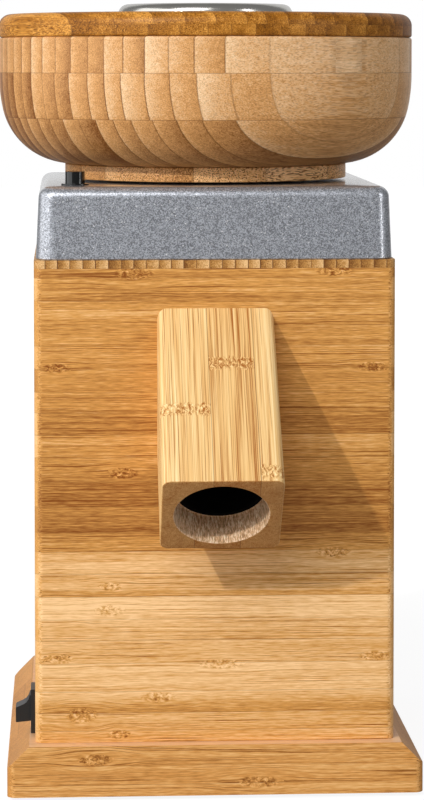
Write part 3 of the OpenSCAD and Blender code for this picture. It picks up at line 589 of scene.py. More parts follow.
    def surface(self) -> bpy.types.Material:
        """Colour the wood and close the tree.

        Returns:
            A material whose fibres, strips and joints run through the solid.
        """
        look, joints = self.look, self.joints()
        dark = srgb(look.dark)
        colour = self.ramp(self.tone(), (0.0, dark), (0.5, srgb(look.mid)), (1.0, srgb(look.pale)))
        if look.fleck:
            spots = self.fade(self.flecks(self.FLECK_MM, 0.0), *self.FLECK_EDGE)
            colour = self.blend(spots * look.fleck, colour, dark)
        colour = self.blend(joints, colour, self.GLUE)
        # painted sheen: faces that look up are blended towards a pale colour, standing in for the bright
        # surround reflected at a grazing view
        if look.top_sheen:
            up = self.split(self.value("TexCoord", output="Normal"))[2]
            share = self.fade(up, *self.TOP_EDGE, 0.0, look.top_sheen)
            colour = self.blend(share, colour, self.PAINTED_SHEEN)
        if look.bore_mm:
            colour = self.bore(colour)
        relief = self.fine * 0.6 + self.streak * 0.4 - joints * 1.2
        return self.finish(Normal=self.bump(relief, 0.04), Base_Color=colour,
                           Roughness=self.fine * 0.16 + (look.roughness - 0.08),
                           Specular_IOR_Level=look.shine)


@dataclass(frozen=True)
class FlakePaint:
    """Metallic paint: fine bright and dark flakes under a satin lacquer."""

    name: str
    colour: str
    flake_mm: float = 0.4
    spread: float = 1.6
    roughness: float = 0.34
    cloud_mm: float = 1.6
    peel_mm: float = 0.5
    glints: Pair = (0.985, 0.995)

    @cache
    def material(self) -> bpy.types.Material:
        """Build the material once.

        Returns:
            The material.
        """
        g = Graph(self.name)
        spot = g.place()
        shade, lump, glint = g.cell_luck(g.node("TexVoronoi", {"Vector": spot, "Scale": 1 / self.flake_mm}))
        cloud = g.noise(spot, 1 / self.cloud_mm, 2.0)
        level = (shade - 0.5) * self.spread + (cloud - 0.5) * 0.08 + 0.5
        colour = g.shades(level, self.colour, (0.1, 0.6), (0.5, 1.0), (0.95, 1.5))
        colour = g.blend(g.fade(glint, *self.glints), colour, (0.95,) * 3)
        peel = (g.noise(spot, 1 / self.peel_mm, 1.0) + lump) * 0.5
        return g.finish(Normal=g.bump(peel, 0.02), Base_Color=colour, Metallic=0.6,
                        Roughness=self.roughness, Coat_Weight=1.0, Coat_Roughness=0.13)


@dataclass(frozen=True)
class Metal:
    """Bare metal with fine marks: turned rings round the grinding axis, or plain."""

    name: str
    colour: str
    roughness: float = 0.3
    rings: bool = False
    mark_mm: float = 0.35
    marks: float = 0.25
    wear_mm: float = 14.0

    @cache
    def material(self) -> bpy.types.Material:
        """Build the material once.

        Returns:
            The material.
        """
        g = Graph(self.name)
        spot = g.place()
        mark = g.noise(spot, 1 / self.mark_mm, 3.0)
        if self.rings:
            x, y, z = g.split(spot)
            mark = g.drawn((g.root(x * x + y * y), 0.0, z), (self.mark_mm,) * 3, 3.0)
        wear = g.noise(spot, 1 / self.wear_mm, 3.0)
        level = (mark - 0.5) * self.marks + (wear - 0.5) * 0.3 + 0.5
        return g.finish(Normal=g.bump(mark, 0.006), Metallic=1.0,
                        Base_Color=g.shades(level, self.colour, (0.2, 0.82), (0.8, 1.08)),
                        Roughness=wear * 0.14 + (self.roughness - 0.07))


@dataclass(frozen=True)
class Moulded:
    """Moulded plastic, rubber, ceramic or varnish: one colour with a fine grained skin."""

    name: str
    colour: str
    roughness: float = 0.4
    grain_mm: float = 0.5
    depth_mm: float = 0.01
    mottle: float = 0.2
    coat: float = 0.0
    shine: float = 0.5
    cloud_mm: float = 9.0

    @cache
    def material(self) -> bpy.types.Material:
        """Build the material once.

        Returns:
            The material.
        """
        g = Graph(self.name)
        spot = g.place()
        skin, cloud = g.noise(spot, 1 / self.grain_mm, 3.0), g.noise(spot, 1 / self.cloud_mm, 3.0)
        level = (skin + cloud - 1.0) * self.mottle + 0.5
        return g.finish(Normal=g.bump(skin, self.depth_mm, 0.6),
                        Base_Color=g.shades(level, self.colour, (0.2, 0.8), (0.8, 1.2)),
                        Roughness=cloud * 0.12 + (self.roughness - 0.06), Coat_Weight=self.coat,
                        Coat_Roughness=0.12, Specular_IOR_Level=self.shine)


@dataclass(frozen=True)
class Laminations:
    """Stacked steel sheets of the motor, seen at their edges."""

    name: str = "stacked sheet steel"
    colour: str = "70757c"
    sheet_mm: float = 0.5
    rust_mm: float = 7.0

    @cache
    def material(self) -> bpy.types.Material:
        """Build the material once.

        Returns:
            The material.
        """
        g = Graph(self.name)
        spot = g.place()
        sheet = g.math("PINGPONG", g.split(spot)[2] / self.sheet_mm, 0.5)
        level = sheet * 0.8 + (g.noise(spot, 1 / self.rust_mm, 3.0) - 0.5) * 0.5 + 0.3
        return g.finish(Normal=g.bump(sheet, 0.12, 1.0), Metallic=0.9, Roughness=0.45,
                        Base_Color=g.shades(level, self.colour, (0.1, 0.5), (0.8, 1.1)))


Finish = Union[Bamboo, FlakePaint, Metal, Moulded, Laminations]

# panels' tone by height: partly the wood's own paler and darker bands, partly painted shade that darkens
# their upper part under the bowl and cap
BODY_TONES_AND_SHADE = ((25, 0.43), (40, 0.43), (48, 0.75), (105, 0.75), (109, 0.62), (118, 0.58), (122, 0.36),
              (172, 0.31), (182, 0.36), (219, 0.38), (225, 0.36), (246, 0.37))
PANEL_KNUCKLES = tuple(Knuckle(along, across, half) for along, across, half in (
    (-48, 86, (8, 3)), (-72, 64, (8, 2.6)), (73, 64, (8, 2.6)), (3, 61, (12, 2.6)), (-26, 46, (9, 3)),
    (-61, 38, (8, 4)), (-44, 29, (6, 2.6)), (54, 112, (9, 3)), (-48, 97, (6, 2.4)), (-42, 149, (8, 3)),
    (54, 241, (10, 3)), (-37, 240, (10, 3.4)), (-72, 197, (8, 2.6)), (72, 197, (8, 2.6))))
PANEL = Bamboo("front bamboo", Grain.ACROSS, "fed29a", "d69a4e", "86480e", 10.5, tones_and_shade=BODY_TONES_AND_SHADE,
               slope=0.12, fibre=0.75, hair=1.0, streak=0.3, band=0.4, tone=0.3, joint_dark=0.25,
               dark_lines=0.42, knuckle_lens=-0.3, knuckles=PANEL_KNUCKLES, knuckle_mm=0.0,
               end_tone=0.1, end_blocks=0.5)
SIDE = Bamboo("side bamboo", Grain.DEEP, "fed29a", "d69a4e", "86480e", 10.5, tones_and_shade=BODY_TONES_AND_SHADE,
              slope=0.12, fibre=0.75, hair=1.0, streak=0.3, band=0.4, tone=0.3, joint_dark=0.25,
              dark_lines=0.55)
BOARD = Bamboo("top board bamboo", Grain.BOARD, "e8bd85", "b98544", "734416", 5.75, tone=0.5,
               unevenness=0.12, slope=0.6, fibre_mm=(6.0, 0.5), streak=0.3, band=0.2, joint_dark=1.0)
BASE = Bamboo("base bamboo", Grain.ACROSS, "f7c886", "d3954d", "80480f", 8.5,
              joints_mm=(-48.0, 0.0, 48.0), slope=0.15, fibre=0.8, hair=1.0, streak=0.35, band=0.45,
              tone=0.3, joint_dark=0.25, end_tone=-0.12, top_sheen=0.5, knuckle_mm=0.0,
              knuckles=(Knuckle(-55, 19, (9, 3)), Knuckle(20, 8, (12, 3))))
SPOUT = Bamboo("spout bamboo", Grain.SPOUT, "fbe1ab", "e6b977", "a05c18", 18.0, tone=0.7, fibre=1.5,
               fibre_mm=(60.0, 0.36), streak=0.8, end_tone=-0.35, joint_dark=0.5,
               joints_mm=(188.7, 205.4), shift_mm=(7.0, -4.0, 0.0), bore_mm=(21.0, 197.03),
               planks=(Plank(-99, 0.62, -37), Plank(-4.3, 0.36, -63), Plank(16.2, 0.6, -3)))
# bowl: one tone per glued layer, with painted shade darkening the bottom layer towards its underside; its
# side shade is painted too, lighter towards the front and right
BOWL = Bamboo("bowl bamboo", Grain.BOWL, "fbdab0", "d59d60", "76410e", 9.0, unevenness=0.35,
              joints_mm=(309.3, 330.5), shift_mm=(6.6, 68.6, 132.0), tone=0.3, slope=0.34, fibre=0.7,
              fibre_mm=(9.0, 0.45), streak=0.35, band=0.2, dark_lines=0.15, joint_dark=0.8,
              knuckle_mm=0.0, calm_mm=99.6, rag=0.6, fleck=0.3, roughness=0.42, shine=0.24, painted_side_shade=-2.0,
              tones_and_shade=((287, 0.12), (298, 0.25), (309, 0.28), (310, 0.38), (330, 0.39), (331, 0.47),
                     (347, 0.47)))
# collar: painted side shade, lighter towards the front and right
COLLAR = Bamboo("collar bamboo", Grain.BOWL, "fcc98e", "d69a58", "7a4514", 19.0, tone=0.3, slope=0.3,
                fibre=1.6, fibre_mm=(6.0, 0.6), streak=0.5, band=0.25, dark_lines=0.15,
                knuckle_mm=0.0, fleck=0.9, rag=0.4, painted_side_shade=-3.0)
# lid: painted side shade, darker towards the right and back
LID = Bamboo("lid bamboo", Grain.LID, "e6a34a", "a06316", "401e02", 11.0, joints_mm=(352.6,), tone=0.2,
             slope=0.22, fibre=1.5, joint_dark=0.5, knuckle_mm=0.0, painted_side_shade=-1.0, fleck=0.35, shine=0.2,
             shift_mm=(3.0, 66.0))
CAP_PAINT = FlakePaint("silver flake paint", "a0a3aa")
MEDALLION = Metal("satin silver", "cbc9c3", 0.23, rings=True)
CAST = Metal("cast alloy", "b4b4b2", 0.48, mark_mm=0.9, marks=0.5)
STEEL = Metal("zinc plated steel", "b9bbbd", 0.28)
SPRING = Metal("spring steel", "a9abad", 0.24)
COPPER = Metal("varnished copper", "a4592c", 0.35)
BLACK_GLOSS = Moulded("gloss black", "0a0a0b", 0.13, mottle=0.1, coat=0.25)
BLACK_SATIN = Moulded("satin black", "1d1b1a", 0.42)
LINER = Moulded("black liner", "070606", 0.92, shine=0.08)
GREY = Moulded("grey food plastic", "565656", 0.45)
STONE = Moulded("corundum ceramic", "cfc6b6", 0.85, grain_mm=0.7, depth_mm=0.25, mottle=0.7)
RUBBER = Moulded("foot rubber", "1b1b1b", 0.75)
WHITE = Moulded("white plastic", "dcdbd6", 0.4)
CAN = Moulded("capacitor can", "cfd0cb", 0.35)
SHEATH = Moulded("lead sheath", "5a2c18", 0.45)
SHEETS = Laminations()


# ---- meshes ----


def add(name: str, data: bpy.types.ID) -> bpy.types.Object:
    """Add an object to the scene.

    Args:
        name: Name of the object.
        data: Mesh, lamp or camera that it shows.

    Returns:
        The object, at the origin.
    """
    obj = bpy.data.objects.new(name, data)
    bpy.context.scene.collection.objects.link(obj)
    return obj


def from_bmesh(name: str, shape: bmesh.types.BMesh) -> bpy.types.Object:
    """Make an object from a shape, which is freed.

    Args:
        name: Name of the object.
        shape: Its mesh, in metres.

    Returns:
        The object.
    """
    mesh = bpy.data.meshes.new(name)
    shape.to_mesh(mesh)
    shape.free()
    return add(name, mesh)


def soften(obj: bpy.types.Object, angle: float = 32.0) -> bpy.types.Object:
    """Shade a piece smoothly and keep its sharp edges crisp.

    Args:
        obj: The piece.
        angle: Degrees from which an edge is sharp.

    Returns:
        The same piece.
    """
    obj.data.shade_smooth()
    obj.data.set_sharp_from_angle(angle=math.radians(angle))
    return obj


def closed(name: str, shape: bmesh.types.BMesh, angle: float = 32.0) -> bpy.types.Object:
    """Make a smooth piece of a closed shape, with its faces outwards."""
    bmesh.ops.recalc_face_normals(shape, faces=shape.faces)
    return soften(from_bmesh(name, shape), angle)


def settle(obj: bpy.types.Object) -> bpy.types.Object:
    """Turn a piece with its modifiers into a plain mesh.

    Args:
        obj: The piece, in the scene.

    Returns:
        The same object without modifiers.
    """
    bpy.context.view_layer.update()
    graph = bpy.context.evaluated_depsgraph_get()
    mesh = bpy.data.meshes.new_from_object(obj.evaluated_get(graph), depsgraph=graph)
    obj.modifiers.clear()
    old, obj.data = obj.data, mesh
    bpy.data.meshes.remove(old)
    mesh.name = obj.name
    return obj


def outward(obj: bpy.types.Object, angle: float) -> bpy.types.Object:
    """Turn the faces of a closed piece outwards and soften it.

    Args:
        obj: The piece.
        angle: Degrees from which an edge is sharp.

    Returns:
        The same piece.
    """
    shape = bmesh.new()
    shape.from_mesh(obj.data)
    bmesh.ops.recalc_face_normals(shape, faces=shape.faces)
    shape.to_mesh(obj.data)
    shape.free()
    return soften(obj, angle)


def cad_shape(node: str) -> bmesh.types.BMesh:
    """Copy the mesh of a CAD node and join its triangles.

    Args:
        node: Name of the CAD node.

    Returns:
        The copy.
    """
    shape = bmesh.new()
    shape.from_mesh(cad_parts[node].data)
    bmesh.ops.remove_doubles(shape, verts=shape.verts, dist=JOIN_GAP)
    return shape


def merged_copy(node: str, name: str, arris_mm: float, segments: int) -> bpy.types.Object:
    """Copy a CAD node, dissolve its flat edges and break its sharp ones.

    Args:
        node: Name of the CAD node.
        name: Name of the new piece.
        arris_mm: Width of the broken edge.
        segments: Faces across each broken edge.

    Returns:
        The new piece, which doesn't replace the node yet.
    """
    shape = cad_shape(node)
    flat, sharp = math.radians(0.4), math.radians(38)
    bmesh.ops.dissolve_limit(shape, angle_limit=flat, verts=shape.verts, edges=shape.edges)
    obj = from_bmesh(name, shape)
    cut = obj.modifiers.new("arris", "BEVEL")
    cut.width, cut.segments = arris_mm * MM, segments
    cut.limit_method, cut.angle_limit = "ANGLE", sharp
    soften(settle(obj))
    obj.modifiers.new("flat faces", "WEIGHTED_NORMAL").keep_sharp = True
    return settle(obj)


def arc(cx: float, cz: float, radius: float, start: float, end: float, steps: int) -> list[Pair]:
    """Set out an arc.

    Args:
        cx: First coordinate of its centre.
        cz: Second coordinate of its centre.
        radius: Its radius.
        start: Degrees at its start, from the first axis towards the second.
        end: Degrees at its end.
        steps: Stretches along it.

    Returns:
        Its points.
    """
    turns = [math.radians(start + (end - start) * i / steps) for i in range(steps + 1)]
    return [(cx + radius * math.cos(a), cz + radius * math.sin(a)) for a in turns]


def circle(radius: float, steps: int, centre: Pair = (0.0, 0.0), start: float = 0.0) -> list[Pair]:
    """Return the points of a circle, anticlockwise from start degrees."""
    return arc(*centre, radius, start, start + 360, steps)[:-1]


def rounded_loop(half_x: float, half_y: float, radius: float, arc_steps: int) -> list[Pair]:
    """Set out a rounded rectangle, anticlockwise from its right side.

    Args:
        half_x: Half its width.
        half_y: Half its depth.
        radius: Corner radius.
        arc_steps: Faces round each corner.

    Returns:
        Points with the same count for every radius.
    """
    points = []
    for k, (sx, sy) in enumerate(((1, 1), (-1, 1), (-1, -1), (1, -1))):
        points += arc(sx * (half_x - radius), sy * (half_y - radius), radius, 90 * k, 90 * k + 90, arc_steps)
    return points


def add_ring(shape: bmesh.types.BMesh, points: Iterable[Pair], height: float,
             unit: float = MM) -> list[bmesh.types.BMVert]:
    """Return a level ring of new vertices of shape; unit is their scale."""
    return [shape.verts.new((x * unit, y * unit, height * unit)) for x, y in points]


def bridge(shape: bmesh.types.BMesh, rings: Sequence[Sequence[bmesh.types.BMVert]]) -> None:
    """Join each ring of vertices to the next one with faces.

    Args:
        shape: Mesh of the vertices.
        rings: Rings with the same count; a ring of one vertex is a tip.
    """
    for low, high in zip(rings, rings[1:]):
        for i in range(max(len(low), len(high))):
            corners = [ring[k % len(ring)] for ring, k in ((low, i), (low, i + 1), (high, i + 1), (high, i))]
            face = list(dict.fromkeys(corners))
            if len(face) > 2:
                shape.faces.new(face)


def fill(shape: bmesh.types.BMesh, loops: Iterable[Sequence[bmesh.types.BMVert]]) -> None:
    """Fill the flat space between closed loops of vertices.

    Args:
        shape: Mesh of the vertices.
        loops: Outline and hole.
    """
    edges = [shape.edges.get(pair) or shape.edges.new(pair) for loop in loops
             for pair in zip(loop, [*loop[1:], loop[0]])]
    bmesh.ops.triangle_fill(shape, edges=edges, use_beauty=True)


def lathe(name: str, profile: Sequence[Pair], centre: Pair = (0.0, 0.0),
          steps: int = 160) -> bpy.types.Object:
    """Turn a closed or axis-to-axis profile round an upright axis.

    Args:
        name: Name of the piece.
        profile: Points (radius, height).
        centre: Place of the axis.
        steps: Faces round the axis.

    Returns:
        The turned piece, closed and with its faces outwards.
    """
    shape = bmesh.new()
    rings = [add_ring(shape, circle(radius, steps, centre) if radius else [centre], height)
             for radius, height in profile]
    bridge(shape, rings + rings[:1] if profile[0][0] else rings)
    return closed(name, shape)


def carve(obj: bpy.types.Object, tool: bpy.types.Object, operation: str) -> None:
    """Join tool to obj or cut it out of obj, and remove tool.

    Args:
        obj: The piece.
        tool: Closed solid.
        operation: UNION or DIFFERENCE.
    """
    cut = obj.modifiers.new("carve", "BOOLEAN")
    cut.object, cut.operation, cut.solver = tool, operation, "EXACT"
    settle(obj)
    bpy.data.objects.remove(tool)


def solids(node: str) -> list[Box]:
    """Find the separate solids of a CAD node.

    Args:
        node: Name of the CAD node.

    Returns:
        Their boxes, in order.
    """
    shape = cad_shape(node)
    left, boxes = set(shape.verts), []
    while left:
        todo, seen = [left.pop()], []
        while todo:
            vert = todo.pop()
            seen.append(vert.co.copy())
            beside = {edge.other_vert(vert) for edge in vert.link_edges} & left
            left -= beside
            todo += beside
        boxes.append(tuple(Vector(f(p[i] for p in seen) for i in range(3)) for f in (min, max)))
    shape.free()
    return sorted(boxes, key=lambda box: tuple(round(v, 4) for v in box[0]))


def heights(node: str) -> Pair:
    """Return the heights of a CAD node's underside and top, in millimetres."""
    low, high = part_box(node)
    return low.z / MM, high.z / MM


# ---- repeated and turned pieces ----


class Recipe(Tree):
    """Geometry Nodes tree with named inputs, run once into a plain mesh."""

    def __init__(self, name: str, inputs: dict[str, float | int]) -> None:
        """Start a tree with number inputs and a material input.

        Args:
            name: Name of the tree.
            inputs: Numbers by input name.
        """
        super().__init__(bpy.data.node_groups.new(name, "GeometryNodeTree"))
        self.inputs: dict[str, object] = {**inputs}
        kinds = {label: "Int" if isinstance(value, int) else "Float" for label, value in inputs.items()}
        for label, kind in {"Geometry": "Geometry", **kinds, "Material": "Material"}.items():
            self.tree.interface.new_socket(label, in_out="INPUT", socket_type="NodeSocket" + kind)
        self.tree.interface.new_socket("Geometry", in_out="OUTPUT", socket_type="NodeSocketGeometry")
        self.source = self.node("NodeGroupInput").outputs

    def __getitem__(self, label: str) -> Value:
        """Return the input called label."""
        return Value(self, self.source[label])

    def scatter(self, instance: Value, turn: Term = (0.0, 0.0, 0.0)) -> Value:
        """Return instance set on every point of the object, turned by turn."""
        spots = self.value("GeometryNodeMeshToPoints", {"Mesh": self["Geometry"]})
        return self.value("GeometryNodeInstanceOnPoints", {"Points": spots, "Instance": instance,
                                                           "Rotation": turn})

    def run(self, obj: bpy.types.Object, shape: Value, material: bpy.types.Material) -> bpy.types.Object:
        """Close the tree and turn an object into its result.

        Args:
            obj: Object that carries the tree while it runs.
            shape: Geometry that the tree ends with.
            material: Material of the result.

        Returns:
            The same object with a plain mesh.
        """
        solid = self.value("GeometryNodeRealizeInstances", {"Geometry": shape})
        dressed = self.value("GeometryNodeSetMaterial", {"Geometry": solid, "Material": self["Material"]})
        self.node("NodeGroupOutput", {"Geometry": dressed})
        values = {**self.inputs, "Material": material}
        mod = obj.modifiers.new(self.tree.name, "NODES")
        mod.node_group = self.tree
        for item in self.tree.interface.items_tree:
            if item.name in values:
                mod[item.identifier] = values[item.name]
        return settle(obj)


@dataclass(frozen=True)
class BowlShape:
    """Outline of the turned bowl: a turn arc and a swell arc share a tangent."""

    bottom: float
    radius: float = 99.6
    wall: float = 9.0
    turn_r: float = 33.4
    swell_r: float = 76.9
    turn_angle: float = 12.0
    hole: float = 41.0
    steps: int = 168
    side_points: int = 28

    def outline(self, r: Recipe, z: Value, inset: Term, away: float) -> Value:
        """Work out the wall's radius, with the rounding of its top edge.

        Args:
            r: The layer's tree.
            z: Height.
            inset: Distance inside the outer face.
            away: 1 where the rounding adds to the radius, -1 where it takes from it.

        Returns:
            The radius at z.
        """
        angle, swing = math.radians(self.turn_angle), self.swell_r - self.turn_r
        turn_z = self.bottom + self.turn_r
        turn_r, drop = self.turn_r - inset, z - turn_z
        swell_r, rise = self.swell_r - inset, r.math("MINIMUM", z - (turn_z + swing * math.sin(angle)), 0.0)
        swell_x = self.radius - self.swell_r
        low = r.root(turn_r * turn_r - drop * drop) + (swell_x + swing * math.cos(angle))
        high = r.root(swell_r * swell_r - rise * rise) + swell_x
        edge = r["Edge"]
        over = r.math("MAXIMUM", z - (r["High"] - edge), 0.0)
        cut = edge - r.root(edge * edge - over * over)
        return mix(r.past(z, turn_z - turn_r * math.sin(angle)), low, high) + cut * away

    def layer(self, name: str, low: float, high: float, edge: float,
              material: bpy.types.Material) -> bpy.types.Object:
        """Turn one glued layer of the bowl with Geometry Nodes.

        Args:
            name: Name of the piece.
            low: Height of the layer's underside.
            high: Height of its top.
            edge: Radius of the rounding at its top edges.
            material: Its material.

        Returns:
            The layer as a closed mesh.
        """
        r = Recipe("turned " + name, {"Low": low, "High": high, "Edge": edge, "Wall": self.wall,
                                      "Hole": self.hole, "Steps": self.steps})
        total, last = 2 * self.side_points + 2, self.side_points - 1
        floor = max(low, self.bottom + self.wall)
        grid = r.value("GeometryNodeMeshGrid", {"Size X": 1.0, "Size Y": 1.0, "Vertices Y": total + 1,
                                                "Vertices X": r["Steps"] + 1})
        x, y, _ = r.split(r.value("GeometryNodeInputPosition"))
        turn, step = x * math.tau + math.pi, r.math("ROUND", y * total + total / 2)
        step = r.math("MODULO", step, total)
        inner = r.past(step, self.side_points - 0.5)
        up = mix(eased(step / last), r["Low"], r["High"])
        back = r.math("MINIMUM", (step - self.side_points) / last, 1.0)
        down = mix(eased(back), r["High"], floor)
        radius = mix(inner, self.outline(r, up, 0.0, -1.0), self.outline(r, down, r["Wall"], 1.0))
        ends = [r.math("COMPARE", step, total - k, 0.1) for k in (2, 1)]
        if floor > low:
            radius = mix(r.math("MAXIMUM", *ends), radius, r["Hole"])
        else:
            inside, outside = self.outline(r, r["Low"], r["Wall"], 1.0), self.outline(r, r["Low"], 0.0, -1.0)
            for k, end in enumerate(ends):
                radius = mix(end, radius, inside + (outside - inside) * ((k + 1) / 3))
        z = mix(ends[1], mix(inner, up, down), r["Low"])
        spot = r.join(*(radius * r.math(wave, turn) * MM for wave in ("COSINE", "SINE")), z * MM)
        wrapped = r.value("GeometryNodeSetPosition", {"Geometry": grid, "Position": spot})
        joined = r.value("GeometryNodeMergeByDistance", {"Geometry": wrapped, "Distance": JOIN_GAP})
        return outward(r.run(from_bmesh(name, bmesh.new()), joined, material), 40.0)


def mix(factor: Value, a: Term, b: Term) -> Value:
    """Return number a where factor is 0 and number b where it is 1."""
    return factor * (b - a) + a


def eased(t: Value) -> Value:
    """Return t from 0 to 1 with its steps drawn closer at both ends."""
    return t * t * (3.0 - t * 2.0)


def from_points(name: str, spots: Iterable[Sequence[float]]) -> bpy.types.Object:
    """Make an object of loose points.

    Args:
        name: Name of the object.
        spots: Places in metres.

    Returns:
        The object.
    """
    shape = bmesh.new()
    for spot in spots:
        shape.verts.new(spot)
    return from_bmesh(name, shape)


@dataclass(frozen=True)
class Screw:
    """A cross-recessed screw; edge and recess are shares of its head."""

    shank_r: float
    head_r: float
    head_t: float
    head_down: bool = True
    sides: int = 24
    edge: float = 0.18
    tip: Pair = (0.6, 1.0)
    recess_r: float = 0.55
    recess_w: float = 0.15
    recess_deep: float = 0.6
    recess_taper: float = 0.8

    def master(self, length: float) -> bpy.types.Object:
        """Build one screw with its head's underside at the origin and its shank upwards.

        Args:
            length: Whole length with the head.

        Returns:
            The screw, in metres.
        """
        shape = bmesh.new()
        edge, (taper, point) = self.edge * self.head_t, self.tip
        rings = [add_ring(shape, circle(radius, self.sides), height, 1.0) for radius, height in (
            (self.head_r - edge, 0.0), (self.head_r, edge), (self.head_r, self.head_t),
            (self.shank_r, self.head_t), (self.shank_r, length - point), (self.shank_r - taper, length))]
        bridge(shape, rings)
        shape.faces.new(rings[-1])
        arm, half = self.recess_r * self.head_r, self.recess_w * self.head_r
        plus, corner = [], [(arm, -half), (arm, half), (half, half)]
        for _ in range(4):
            plus += corner
            corner = [(-y, x) for x, y in corner]
        top = add_ring(shape, plus, 0.0, 1.0)
        narrow = [(x * self.recess_taper, y * self.recess_taper) for x, y in plus]
        deep = add_ring(shape, narrow, self.recess_deep * self.head_t, 1.0)
        bridge(shape, [top, deep])
        shape.faces.new(deep)
        fill(shape, (rings[0], top))
        bmesh.ops.recalc_face_normals(shape, faces=shape.faces)
        bmesh.ops.scale(shape, vec=(MM,) * 3, verts=shape.verts)
        return from_bmesh("screw master", shape)

    def field(self, node: str, name: str, material: bpy.types.Material) -> bpy.types.Object:
        """Set a screw on every solid of a CAD node with Geometry Nodes.

        Args:
            node: CAD node that holds the plain screws.
            name: Name of the piece.
            material: Its material.

        Returns:
            All the screws as one plain mesh.
        """
        boxes = solids(node)
        master = self.master((boxes[0][1].z - boxes[0][0].z) / MM)
        heads = [(*((low + high) / 2).xy, low.z if self.head_down else high.z) for low, high in boxes]
        r = Recipe("set " + name, {"Seed": 7, "Tilt": 0.0 if self.head_down else math.pi})
        turn = r.value("FunctionNodeRandomValue", {
            0: r.join(r["Tilt"], 0.0, 0.0), 1: r.join(r["Tilt"], 0.0, math.tau), "Seed": r["Seed"]},
            data_type="FLOAT_VECTOR")
        part = r.value("GeometryNodeObjectInfo", {"Object": master}, "Geometry")
        obj = r.run(from_points(name, heads), r.scatter(part, turn), material)
        bpy.data.objects.remove(master)
        return soften(obj)


@dataclass(frozen=True)
class Coil:
    """A compression spring of round wire."""

    radius: float
    wire: float
    turns: float
    points_a_turn: int = 28
    wire_sides: int = 10

    def field(self, node: str, name: str, material: bpy.types.Material) -> bpy.types.Object:
        """Wind a spring for every solid of a CAD node with Geometry Nodes.

        Args:
            node: CAD node that holds the plain springs.
            name: Name of the piece.
            material: Its material.

        Returns:
            All the springs as one plain mesh.
        """
        boxes, wire = solids(node), self.wire * MM
        feet = [(*((low + high) / 2).xy, low.z + wire) for low, high in boxes]
        r = Recipe("wound " + name, {"Radius": self.radius * MM, "Wire": wire, "Turns": self.turns,
                                     "Height": boxes[0][1].z - boxes[0][0].z - 2 * wire})
        path = r.value("GeometryNodeCurveSpiral", {
            "Resolution": self.points_a_turn, "Rotations": r["Turns"], "Start Radius": r["Radius"],
            "End Radius": r["Radius"], "Height": r["Height"]})
        ring = r.value("GeometryNodeCurvePrimitiveCircle", {"Resolution": self.wire_sides,
                                                            "Radius": r["Wire"]})
        wound = r.value("GeometryNodeCurveToMesh", {"Curve": path, "Profile Curve": ring,
                                                    "Fill Caps": True})
        return outward(r.run(from_points(name, feet), r.scatter(wound), material), 60.0)


# ---- the mill ----


@dataclass(frozen=True)
class Copied:
    """A piece that is its CAD node with broken edges."""

    node: str
    name: str
    finish: Finish
    slot: str = "bamboo"
    arris_mm: float = 0.35
    segments: int = 2


@dataclass
class Assembly:
    """A group of pieces on one CAD body, some of them CAD nodes that are only painted."""

    body: str
    painted: tuple[tuple[Finish, tuple[str, ...]], ...] = ()

    def keep(self, obj: bpy.types.Object, finish: Finish, slot: str, *nodes: str,
             rides: bool = True) -> bpy.types.Object:
        """Dress a finished piece.

        Args:
            obj: The piece, finished and in place.
            finish: Its finish.
            slot: Name of a material slot; not used.
            *nodes: CAD nodes that it stands for.
            rides: Whether it rides on the assembly's body.

        Returns:
            The piece.
        """
        obj.data.materials.clear()
        obj.data.materials.append(finish.material())
        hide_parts(*nodes)
        LOG.info("%s: %d faces on %s", obj.name, len(obj.data.polygons), self.body)
        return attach(obj, self.body) if rides else obj

    def build(self) -> None:
        """Give the painted CAD nodes, which stay as they are, their materials."""
        for finish, nodes in self.painted:
            for node in nodes:
                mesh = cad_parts[node].data
                mesh.materials.clear()
                mesh.materials.append(finish.material())
                LOG.info("%s: %s", node, finish.name)


